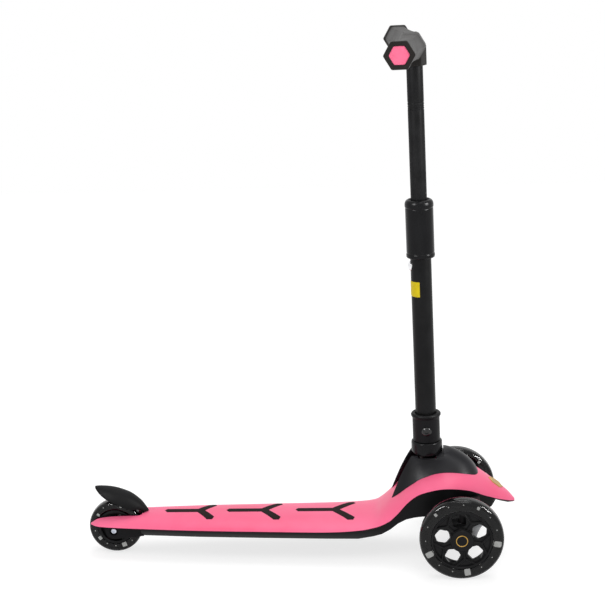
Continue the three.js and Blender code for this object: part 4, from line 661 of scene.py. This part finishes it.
def makeCollar():
    shape = columnShape
    # its underside is hollowed about the lean pivot, so that it rides over the trough
    inner, low, high = shape["neck"] + fits["gap"], shape["foot"] - shape["skirt"], shape["collarTop"]
    outer = shape["collar"]
    collar = turnedOnColumn("collar", [
        [inner, low], [outer - 0.4, low], [outer + 0.4, low + shape["skirt"] + 1], [outer + 0.3, high - 3.0],
        [outer, high - 1.0], [outer - 1.3, high], [inner, high]], soft=0.7)
    reach = 2 * outer
    return cut(collar, rod("sweep", shape["foot"], (-reach, reach), "x", (place["pivotX"], 0, place["pivotZ"]),
                           facets["trough"]))


def makeSleeve():
    shape = columnShape
    low, high, outer = shape["sleeveLow"], shape["sleeveTop"], shape["sleeve"]
    body, inner, throat = outer - 0.5, shape["tube"] + fits["gap"], shape["upper"] + 2 * fits["gap"]
    return turnedOnColumn("sleeve", [
        [inner, low], [outer - 2.2, low], [outer - 0.6, low + 0.8], [outer, low + 2.2], [outer, low + 5.8],
        [body - 0.4, low + 6.9], [body, low + 8.2], [body, high - 13.0], [body - 0.4, high - 11.7],
        [outer, high - 10.4], [outer, high - 6.5], [outer - 0.4, high - 4.2], [outer - 1.3, high - 2.2],
        [outer - 2.8, high - 0.7], [outer - 4.4, high], [outer - 5.1, high - 0.6], [throat, high - 4.5],
        [throat, high - 7.9], [inner, high - 7.9]], soft=0.6)


def makeTube(name, radius, low, high, rings=()):
    # a tube with shallow turned lines at the heights given
    inner = radius - columnShape["wall"]
    lines = [[radius - deep, ring + step] for ring in rings for step, deep in columnShape["mark"]]
    return turnedOnColumn(name, [[inner, low], [radius, low], *lines, [radius, high], [inner, high]], soft=0.15)


def makeLowerTube():
    shape, button = columnShape, buttonShape
    tube = makeTube("tube", shape["tube"], shape["boreFloor"] + fits["gap"], shape["lowerTop"])
    return cut(tube, rod("pocket", button["hole"], (-fits["over"], button["floor"]), "x", (0, 0, button["height"]),
                         facets["pin"], columnRow))


def makeBand():
    # a thin plate bent round the back of the lower tube between two heights and two angles, its edges rounded off
    shape = bandShape
    low, high = shape["low"], shape["high"]
    inner, outer = columnShape["tube"] + shape["under"], columnShape["tube"] + shape["over"]
    angle = np.radians(np.linspace(*shape["turn"], 40))
    height = np.concatenate([[low, low + 0.6], np.linspace(low + 2, high - 2, 8), [high - 0.6, high]])[:, None]
    edge = np.array([0, 0.75, *[1] * 8, 0.75, 0])[:, None]
    side = np.clip(np.minimum(angle - angle[0], angle[-1] - angle) / shape["soft"], 0, 1) ** 0.5
    radius = inner + (outer - inner) * edge * side
    rings = [np.stack([reach * np.cos(angle), reach * np.sin(angle), height + 0 * reach], axis=-1)
             for reach in (radius, inner - 0.1 + 0 * radius)]
    return loftSolid("band", np.concatenate([rings[0], rings[1][:, ::-1]], axis=1), columnRow)


def makeButton():
    # a domed button that looks out of the back of the lower tube
    shape = buttonShape
    profile = [*shape["dome"], (shape["dome"][-1][0], shape["back"]), (0, shape["back"])]
    return spin("button", profile, "x", (0, 0, shape["height"]), facets["pin"], False, columnRow, 0.3)


def makeSocketBolt():
    # a domed head with a six-sided socket, on the side of the column's socket, and its shank
    at = socketBolt
    y, radius, thick, end = at["y"], at["radius"], at["thick"], at["y"] + at["length"]
    head = spin("bolt", [[0, y - thick], [radius * 0.55, y - thick], [radius * 0.9, y - thick * 0.55],
                         [radius, y - 0.5], [radius, y], [at["shank"], y], [at["shank"], end], [0, end]],
                "y", (0, 0, at["height"]), facets["pin"], False, columnRow, 0.4)
    return cut(head, extrudeOutline("key", hexagon(at["key"]) + [0, at["height"]],
                                    (y - thick - 5, y - thick + at["keyDeep"]), "xz", columnRow))


settle(makeSocket(), "columnSocket", "satinBlack", "column", ["column_socket"])
settle(makeCollar(), "columnCollar", "glossBlack", "column", ["column_collar"])
settle(makeSleeve(), "lockSleeve", "glossBlack", "column", ["lock_sleeve"])
settle(makeLowerTube(), "lowerTube", "tubeBlack", "column", ["lower_tube"])
settle(makeTube("tube", columnShape["upper"], columnShape["upperLow"], columnShape["upperTop"], columnShape["marks"]),
       "upperTube", "tubeSatin", "handlebar", ["upper_tube"])
settle(makeBand(), "reflectiveBand", "yellowPatch", "column", ["reflective_band"], 40)
settle(makeButton(), "heightButton", "chrome", "height_button", ["height_button"], 40)
settle(makeSocketBolt(), "socketBolt", "blackSteel", "column", ["socket_bolt"])
print("column made")


# Handlebar
barShape = {"height": 643.0, "setback": 4.0, "sweep": 17.3, "bend": 22.0, "half": 131.0, "hex": 21.6, "grip": 17.9,
            "corner": 0.982, "core": 24.0, "coreCorner": 0.95, "coreFall": 2.2, "coreEdge": 1.2, "flange": 7.0,
            "recess": 14.6, "recessDepth": 4.0, "sunk": 0.6, "tube": 8.0, "tubeHalf": 118.0, "headLow": 616.0,
            "headRadius": 17.5, "plugCorner": 0.965}
# the ends of grip and plug: how far back from the end face, and the fall from the hexagon's radius or the radius
flangeRows = np.array([[6.6, 1.4], [6.0, 0.4], [5.2, 0.0], [1.6, 0.0], [0.8, 0.2], [0.2, 0.6], [0.0, 1.0]])
plugRows = np.array([[3.1, 14.2], [1.0, 14.2], [0.35, 13.95], [0, 13.4], [0, 12.7], [0.45, 12.2], [0.5, 8.0]])
# the grip: share of the way out, and the shares of the grip's radius and of the hexagon there
gripRows = np.array([[0, 1.05, 1], [0.01, 1.085, 1], [0.12, 1.03, 0.9], [0.35, 0.985, 0.7], [0.62, 0.985, 0.6],
                     [0.84, 1.02, 0.75], [0.93, 1.06, 0.9]])


def barLoft(name, y, radius, hexShare, corner=barShape["corner"], points=72):
    # rings about the bar's bent centre line, between a circle and a hexagon with corners front and back
    shape = barShape
    y, radius, hexShare = (values[:, None] for values in np.broadcast_arrays(y, radius, hexShare))
    along = np.maximum(0, np.abs(y) - shape["bend"]) / (shape["half"] - shape["bend"])
    centre = -shape["setback"] - shape["sweep"] * along
    angle = turns(points)
    turnBack = np.mod(angle, np.pi / 3) - np.pi / 6
    hexed = np.minimum(math.cos(math.pi / 6) / np.cos(turnBack), corner)
    reach = radius * (1 + hexShare * (hexed - 1))
    rings = np.stack([centre + reach * np.cos(angle), y + 0 * reach, shape["height"] - reach * np.sin(angle)], axis=-1)
    return loftSolid(name, rings, columnRow)


def makeGrip(hand):
    shape, bore = barShape, barShape["tube"] + fits["gap"]
    inner, outer = shape["core"] + fits["gap"], shape["half"]
    table = throughRows(gripRows, 80)
    table = table[np.argsort(table[:, 0])]  # the curve turns back a little at its start
    y = inner + table[:, 0] * (outer - inner)
    keep = y < outer - shape["flange"] - 0.6
    back, fall = flangeRows.T
    body = barLoft("grip", hand * np.concatenate([y[keep], outer - back]),
                   np.concatenate([table[keep, 1] * shape["grip"], shape["hex"] - fall]),
                   np.concatenate([table[keep, 2], np.ones(len(fall))]))
    recess = barLoft("recess", hand * np.array([outer - shape["recessDepth"], outer + 5]), shape["recess"], 1)
    tunnelY = np.array([inner - 2, shape["bend"] + 2.5, shape["tubeHalf"] + fits["gap"]])
    return cut(body, barLoft("tunnel", hand * tunnelY, bore, 0), recess)


def makePlug(hand):
    # the coloured insert in the grip's end, with a raised rim line round a flat middle
    back, radius = plugRows.T
    outer = barShape["half"] - barShape["sunk"]
    return barLoft("plug", hand * (outer - back), radius, 1, barShape["plugCorner"])


def makeCore():
    shape, bore = barShape, barShape["tube"] + fits["gap"]
    ends = shape["core"] - np.array([0, 0.4, shape["coreEdge"]])
    y = np.concatenate([-ends, np.linspace(-20, 20, 17), ends[::-1]])
    over = np.clip((np.abs(y) - ends[-1]) / shape["coreEdge"], 0, 1)
    radius = shape["hex"] - shape["coreFall"] * (np.abs(y) / shape["core"]) ** 1.6 - over ** 2 * 0.4
    bar = barLoft("core", y, radius, 1, shape["coreCorner"])
    outline = hexagon(shape["headRadius"], (0.07, 0.5, 0.93))
    collar = loftSolid("collar", [np.insert(outline * share, 2, z, axis=1) for share, z in (
        (0.965, shape["headLow"]), (1.0, shape["headLow"] + 0.8), (1.0, shape["height"]))], columnRow)
    stem = rod("stem", columnShape["upper"] + fits["gap"],
               (shape["headLow"] - fits["over"], columnShape["upperTop"] + fits["gap"]), convert=columnRow)
    bend = shape["bend"]
    tunnel = join(*(barLoft("tunnel", run, bore, 0) for run in ([-2 * bend, -bend, 0.0], [-0.1, bend, 2 * bend])))
    return cut(join(bar, collar), stem, tunnel)


settle(makeCore(), "handlebarCore", "gripGrey", "handlebar", ["handlebar_core"], 28)
for hand, side in ((-1, "right"), (1, "left")):
    settle(makeGrip(hand), "grip" + side.title(), "gripGrey", "handlebar", ["grip_" + side], 28)
    settle(makePlug(hand), "gripEnd" + side.title(), "pinkPlug", "handlebar", ["grip_end_" + side])
print("handlebar made")


# Wheels
frontWheel = {"radius": 60.0, "track": 105.9, "core": 44.0, "half": 12.0, "hub": 17.0, "hubHalf": 11.0,
              "bearing": 11.0, "bore": 15.0, "boreDepth": 3.2, "rimWall": 4.2, "web": (2.6, 7.2), "cells": 5,
              "across": 20.0, "cellAt": 27.5, "turn": 10.0, "fork": 28.5, "spread": 56.0,
              "ridge": ((0.0, 2.0), (2.2, 1.5), (3.2, 0.9), (3.5, 0.4)), "lights": 5, "lightTurn": 45.0,
              "lightSize": 8.8, "lightDeep": 8.8, "lightLift": 2.8, "lightShares": (0.45, 0.45, 1, 1, 1), "tread": 3.3,
              "rib": 57.0, "ribHalf": 3.0, "dots": 15, "dotAt": 51.0, "dot": 0.6}
rearWheel = {"radius": 40.0, "core": 27.0, "half": 12.0, "hub": 14.0, "hubHalf": 11.0, "bearing": 11.0, "rimWall": 5.0,
             "web": 3.5, "holes": 5, "hole": 2.6, "lights": 5, "lightTurn": 2.0, "lightSize": 7.4, "lightDeep": 7.6,
             "lightLift": 0.6, "lightShares": (0.5, 0.5, 0.5, 0.8, 1), "tread": 3.3, "rib": 37.5, "ribHalf": 2.6,
             "dots": 15, "dotAt": 33.0, "dot": 0.55}
lightShape = {"power": 0.32, "steps": 13, "sides": 24, "deep": 0.49, "dotLong": 1.4}
capShape = {"radius": 16.3, "skirtOuter": 14.7, "skirtInner": 12.5, "skirt": 3.0, "disc": 1.9, "face": 11.3,
            "dish": ((13.4, 0), (12.9, 0.5), (0, 0.35)), "ring": (7.3, 8.5), "sunk": 0.16}
axleBolt = {"head": 4.4, "seat": 24.0, "end": 27.0, "shank": 3.0, "key": 2.3, "keyTurn": 0.3, "keyDeep": 1.8}


def onFrontWheel(hand):
    # the outside of a wheel looks along +Y on the left and, turned half round, along -Y on the right
    turned, middle = np.array([hand, hand, 1]), np.array([0, hand * frontWheel["track"], frontWheel["radius"]])
    return lambda points: toRow(np.asarray(points, float) * turned + middle)


def onRearWheel(points):
    return toRow(np.asarray(points, float) + np.array([rearAxleX, 0, rearWheel["radius"]]))


def wheelRing(name, profile, convert, soft=0.5, sides="round"):
    # a closed profile carried round the axle
    return spin(name, profile, "y", (0, 0, 0), facets[sides], True, convert, soft)


def wheelBand(name, radii, ends, convert, soft=0.5, sides="round"):
    # a plain ring between two radii and two places along the axle
    (near, far), (low, high) = radii, ends
    return wheelRing(name, [[near, low], [far, low], [far, high], [near, high]], convert, soft, sides)


def makeTyre(wheel, convert):
    # a deep tread: the side and the top are one superellipse quarter, mirrored, on a narrower bead
    bead, power, t = wheel["core"] + fits["gap"], wheel["tread"], np.linspace(0, np.pi / 2, 25)
    foot = bead + 2
    upper = np.column_stack([foot + (wheel["radius"] - foot) * np.cos(t) ** (2 / power),
                             wheel["half"] * np.sin(t) ** (2 / power)])
    upper = np.concatenate([upper, [[bead, wheel["half"] - 1.2]]])
    return wheelRing("tyre", np.concatenate([upper[1:][::-1] * [1, -1], upper]), convert, 0, "fine")


def placeAround(count, turn, make):
    return [make(angle) for angle in math.radians(turn) + turns(count)]


def makeLights(wheel, convert):
    # light blocks that stand on the rim inside the clear tyre, with small contacts between them, one mesh of
    # rounded blocks: each the superellipsoid between a ball and a box, set out along its own spoke
    shape, count = lightShape, wheel["lights"]
    u, v = np.meshgrid(np.linspace(0, np.pi, shape["steps"]), turns(shape["sides"]), indexing="ij")
    out, side, wide = (np.sign(value) * np.abs(value) ** shape["power"]
                       for value in (np.cos(u), np.sin(u) * np.cos(v), np.sin(u) * np.sin(v)))
    turn, size, deep, dot = math.radians(wheel["lightTurn"]), wheel["lightSize"], wheel["lightDeep"], wheel["dot"]
    # for each: angle, distance from the axle, and half its size along the spoke, round the rim and across the wheel
    spots = [(turn + angle, wheel["core"] + wheel["lightLift"] + deep / 2, share * deep * shape["deep"],
              share * size / 2, size / 2) for angle, share in zip(turns(count), wheel["lightShares"])]
    spots += [(turn + angle, wheel["dotAt"], dot, dot * shape["dotLong"], wheel["ribHalf"] + dot)
              for k, angle in enumerate(turns(wheel["dots"])) if k % (wheel["dots"] // count)]
    points, faces = [], []
    for index, (angle, middle, deep, half, reach) in enumerate(spots):
        distance = middle + out * deep
        points.append(np.stack([distance * math.cos(angle) - side * half * math.sin(angle), wide * reach,
                                distance * math.sin(angle) + side * half * math.cos(angle)], axis=-1).reshape(-1, 3))
        faces += (gridFaces(*u.shape) + index * u.size).tolist()
    return tidyMesh(newObject("lights", convert(np.concatenate(points)), faces))


def lockingRib(at, convert):
    # the thin rim that locks the core into the clear tyre
    return wheelBand("rib", (at["core"] - 1.5, at["rib"]), (-at["ribHalf"], at["ribHalf"]), convert, 0.8, "fine")


def makeFrontCore(convert):
    at = frontWheel
    rim, rimInner, half = at["core"], at["core"] - at["rimWall"], at["hubHalf"]
    step = half - at["boreDepth"]
    core = wheelRing("core", [[rimInner, -half], [rim - 1, -half], [rim, 1 - half], [rim, half - 1], [rim - 1, half],
                              [rimInner + 1.4, half], [rimInner, half - 1.6]], convert, 0.6, "fine")
    hub = wheelRing("hub", [[at["bearing"], -half], [at["hub"], -half], [at["hub"], half], [at["bore"], half],
                            [at["bore"], step], [at["bearing"], step]], convert)
    web = wheelBand("web", (at["hub"] - 1, rimInner + 1), at["web"], convert, 0)
    cell = hexagon(at["across"] / 2 / math.cos(math.pi / 6), (0.12, 0.5, 0.88))

    def cellAt(angle):
        turned = cell @ way(np.array([angle, angle + math.pi / 2]))
        return extrudeOutline("cell", turned + at["cellAt"] * way(angle), (-at["half"], at["half"]), "xz", convert)

    def ridgeBar(start, end):
        # a bar between two points of the web whose sides lean in towards its rounded top
        along = (end - start) / np.linalg.norm(end - start)
        across = np.array([-along[1], along[0]])
        rings = []
        for lift, half in at["ridge"]:
            flat = np.stack([start - across * half, end - across * half, end + across * half, start + across * half])
            rings.append(np.insert(flat, 1, at["web"][1] - fits["gap"] + lift, axis=1))
        return loftSolid("ridge", rings, convert)

    def ridgeAt(angle):
        spread, fork = math.radians(at["spread"]), at["fork"] * way(angle)
        reach = math.sqrt((rimInner + 1.5) ** 2 - (at["fork"] * math.sin(spread)) ** 2) - at["fork"] * math.cos(spread)
        arms = [ridgeBar(fork - 0.6 * way(heading), fork + reach * way(heading))
                for heading in (angle - spread, angle + spread)]
        return join(ridgeBar((at["hub"] - 1.2) * way(angle), fork + 0.4 * way(angle)), *arms)

    web = cut(web, *placeAround(at["cells"], at["turn"], cellAt))
    ridges = placeAround(at["cells"], at["turn"] + 180 / at["cells"], ridgeAt)
    return join(web, core, hub, lockingRib(at, convert), *ridges)


def makeHubCap(convert):
    # a disc with a skirt that goes into the hub and a middle that is dished a little
    at, face, top = capShape, capShape["face"], capShape["face"] + capShape["disc"]
    return spin("cap", [[0, face], [at["skirtInner"], face], [at["skirtInner"], face - at["skirt"]],
                        [at["skirtOuter"], face - at["skirt"]], [at["skirtOuter"], face], [at["radius"], face],
                        [at["radius"], top - 0.9], [at["radius"] - 0.9, top],
                        *([radius, top - deep] for radius, deep in at["dish"])],
                "y", (0, 0, 0), facets["round"], False, convert, 0.35)


def makeCapRing(convert):
    # a plain raised ring in the middle of the cap
    face = capShape["face"] + capShape["disc"]
    return wheelBand("ring", capShape["ring"], (face - 0.8, face - capShape["sunk"]), convert, 0.2)


def makeRearCore():
    at = rearWheel
    rim, rimInner, half, web = at["core"], at["core"] - at["rimWall"], at["hubHalf"], at["web"]
    core = wheelRing("core", [[rimInner, -half], [rim - 0.8, -half], [rim, 0.8 - half], [rim, half - 0.8],
                              [rim - 0.8, half], [rimInner, half]], onRearWheel, 0.6)
    hub = wheelBand("hub", (at["bearing"], at["hub"]), (-half, half), onRearWheel)
    disc = wheelBand("web", (at["hub"] - 0.6, rimInner + 0.6), (-web, web), onRearWheel, 0)
    middle = (rimInner + at["hub"]) / 2
    holes = placeAround(at["holes"], 0, lambda angle: rod(
        "hole", at["hole"], (-half, half), "y", np.insert(middle * way(angle), 1, 0), facets["pin"], onRearWheel))
    return join(cut(disc, *holes), core, hub, lockingRib(at, onRearWheel))


def makeAxleBolt():
    # a low domed head with a six-sided socket on a plain shank, turned about the rear axle
    at, head, end = axleBolt, axleBolt["head"], axleBolt["end"]
    bolt = spin("bolt", [[0, -end], [head - 1.5, -end], [head - 0.5, 0.6 - end], [head, 1.6 - end],
                         [head, -at["seat"]], [at["shank"], -at["seat"]], [at["shank"], end], [0, end]],
                "y", (0, 0, 0), facets["pin"], False, onRearWheel, 0.3)
    return cut(bolt, extrudeOutline("key", hexagon(at["key"], turn=at["keyTurn"]), (-end - 3, at["keyDeep"] - end),
                                    "xz", onRearWheel))


for hand, side in ((-1, "right"), (1, "left")):
    convert, body, end = onFrontWheel(hand), "front_wheel_" + side, side.title()
    settle(makeTyre(frontWheel, convert), "frontTyre" + end, "tyreClear", body, ["front_tyre_" + side], 40)
    settle(makeFrontCore(convert), "frontCore" + end, "wheelBlack", body, ["front_wheel_core_" + side],
           30)
    settle(makeLights(frontWheel, convert), "frontLights" + end, "lightBlock", body, (), 40)
    settle(makeHubCap(convert), "hubCap" + end, "capBlack", body, ["hub_cap_" + side], 30)
    settle(makeCapRing(convert), "capRing" + end, "gold", body, (), 30)
settle(makeTyre(rearWheel, onRearWheel), "rearTyre", "tyreClear", "rear_wheel", ["rear_tyre"], 40)
settle(makeRearCore(), "rearCore", "wheelBlack", "rear_wheel", ["rear_wheel_core"], 30)
settle(makeLights(rearWheel, onRearWheel), "rearLights", "lightBlock", "rear_wheel", (), 40)
settle(makeAxleBolt(), "rearAxleBolt", "brightSteel", "deck", ["rear_axle_bolt"])
print("wheels made")


# Nodes that keep their own shape
def bothSides(*names):
    return [name + side for name in names for side in ("_right", "_left")]


kept = {
    "satinBlack": ["deck_tray", "tie_rod"],
    "castGrey": bothSides("knuckle"),
    "bushGrey": ["lean_bush_front", "lean_bush_rear", "tube_bush_top", "tube_bush_bottom"],
    "steel": ["tray_screw_rear", "tray_screw_front", "lean_pivot_pin", "rear_axle_nut", "brake_hinge_pin",
              "centring_spring", "brake_return_spring", "socket_nut", "crossbar",
              *bothSides("kingpin", "tie_rod_screw", "front_axle_bolt", "front_bearing_inner", "front_bearing_outer",
                         "axle_magnet", "rear_bearing")],
}
# bevel and weld in metres, and the angles from which an edge is eased or stays sharp
edges = {"ease": 0.00035, "from": 38.0, "sharp": 32.0, "weld": 2e-6,
         "plain": ("deck_tray", "centring_spring", "brake_return_spring")}


def dressNode(item, look, eased):
    # the node keeps its shape, welded for shading, with its edges eased
    mesh = item.data
    if "custom_normal" in mesh.attributes:
        mesh.attributes.remove(mesh.attributes["custom_normal"])
    mesh.polygons.foreach_set("use_smooth", np.ones(len(mesh.polygons), bool))
    item.modifiers.new("weld", "WELD").merge_threshold = edges["weld"]
    if eased:
        ease = item.modifiers.new("ease", "BEVEL")
        ease.width, ease.segments, ease.use_clamp_overlap = edges["ease"], 2, True
        ease.limit_method, ease.angle_limit = "ANGLE", math.radians(edges["from"])
    item.modifiers.new("split", "EDGE_SPLIT").split_angle = math.radians(edges["sharp"])
    mesh.materials.clear()
    mesh.materials.append(finish[look])


for look, members in kept.items():
    for member in members:
        dressNode(nodes[member], look, member not in edges["plain"])
print("kept nodes dressed")


# Floor, light and world
# the floor glows where it is seen and is plain paint where it throws light; each lamp has its spot, size and power
studio = {
    "floor": 3.0, "floorWhite": 0.93, "share": 0.55, "glow": 1.285, "world": 0.64, "target": (0.0, 0.0, 0.25),
    "lamps": {"key": ((0.5, -1.3, 2.6), (1.2, 1.2), 12.0), "top": ((0.25, 0.75, 2.8), (1.8, 1.8), 28.0),
              "fill": ((0.1, -2.3, 0.3), (1.8, 0.5), 12.0), "leftShine": ((-0.62, -0.8, 1.0), (0.45, 0.45), 15.0),
              "rightShine": ((1.42, -0.6, 1.0), (0.55, 0.55), 36.0)},
    "shineOn": ["frontTyreRight", "frontTyreLeft", "rearTyre", "socketBolt", "columnSocket", "columnCollar",
                "lockSleeve", "lowerTube", "upperTube", "frontCowl", "brakeFender"],
}


def seenDirectly(tree):  # 1 where the camera, a mirror or a clear piece sees it, and 0 for the light it throws
    path = addNode(tree, "LightPath").outputs
    first = addNode(tree, "Math", {0: path["Is Camera Ray"], 1: path["Is Glossy Ray"]}, operation="MAXIMUM")
    second = addNode(tree, "Math", {0: first.outputs[0], 1: path["Is Transmission Ray"]}, operation="MAXIMUM")
    return second.outputs[0]


def addFloor(look):
    size = look["floor"]
    floor = newObject("floor", [[-size, -size, 0], [size, -size, 0], [size, size, 0], [-size, size, 0]], [[0, 1, 2, 3]])
    material = bpy.data.materials.new("floorWhite")
    material.use_nodes = True
    tree = material.node_tree
    tree.nodes.clear()
    paint = addNode(tree, "BsdfDiffuse", {"Color": (*(look["floorWhite"],) * 3, 1)})
    glow = addNode(tree, "Emission", {"Color": (1, 1, 1, 1), "Strength": look["glow"]})
    share = addNode(tree, "Math", {0: seenDirectly(tree), 1: look["share"]}, operation="MULTIPLY")
    blend = addNode(tree, "MixShader", {0: share.outputs[0], 1: paint.outputs[0], 2: glow.outputs[0]})
    addNode(tree, "OutputMaterial", {"Surface": blend.outputs[0]})
    floor.data.materials.append(material)


def addWorld(look):
    world = bpy.data.worlds.new("studio")
    world.use_nodes = True
    bpy.context.scene.world = world
    tree = world.node_tree
    level = addNode(tree, "MapRange", {"Value": seenDirectly(tree), "To Min": look["world"], "To Max": 1.0})
    setSockets(tree.nodes["Background"], {"Color": (1, 1, 1, 1), "Strength": level.outputs["Result"]})


def addLamps(look):
    shineOn = bpy.data.collections.new("shineOn")  # the black and clear pieces that the side boxes show in
    for name in look["shineOn"]:
        shineOn.objects.link(bpy.data.objects[name])
    for name, (spot, size, power) in look["lamps"].items():
        lamp = bpy.data.lights.new(name, "AREA")
        lamp.shape, lamp.energy = "RECTANGLE", power
        lamp.size, lamp.size_y = size
        item = bpy.data.objects.new(name, lamp)
        item.visible_camera = False
        item.visible_diffuse = "Shine" not in name  # the two side boxes only show in glossy surfaces
        item.visible_glossy = name != "fill"  # and the fill never does
        if "Shine" in name:
            item.light_linking.receiver_collection = shineOn
        item.location = spot
        item.rotation_mode = "QUATERNION"
        item.rotation_quaternion = (Vector(look["target"]) - Vector(spot)).to_track_quat("-Z", "Y")
        bpy.context.scene.collection.objects.link(item)


addFloor(studio)
addWorld(studio)
addLamps(studio)
bpy.context.scene.view_settings.view_transform = "Standard"
print("studio lit")
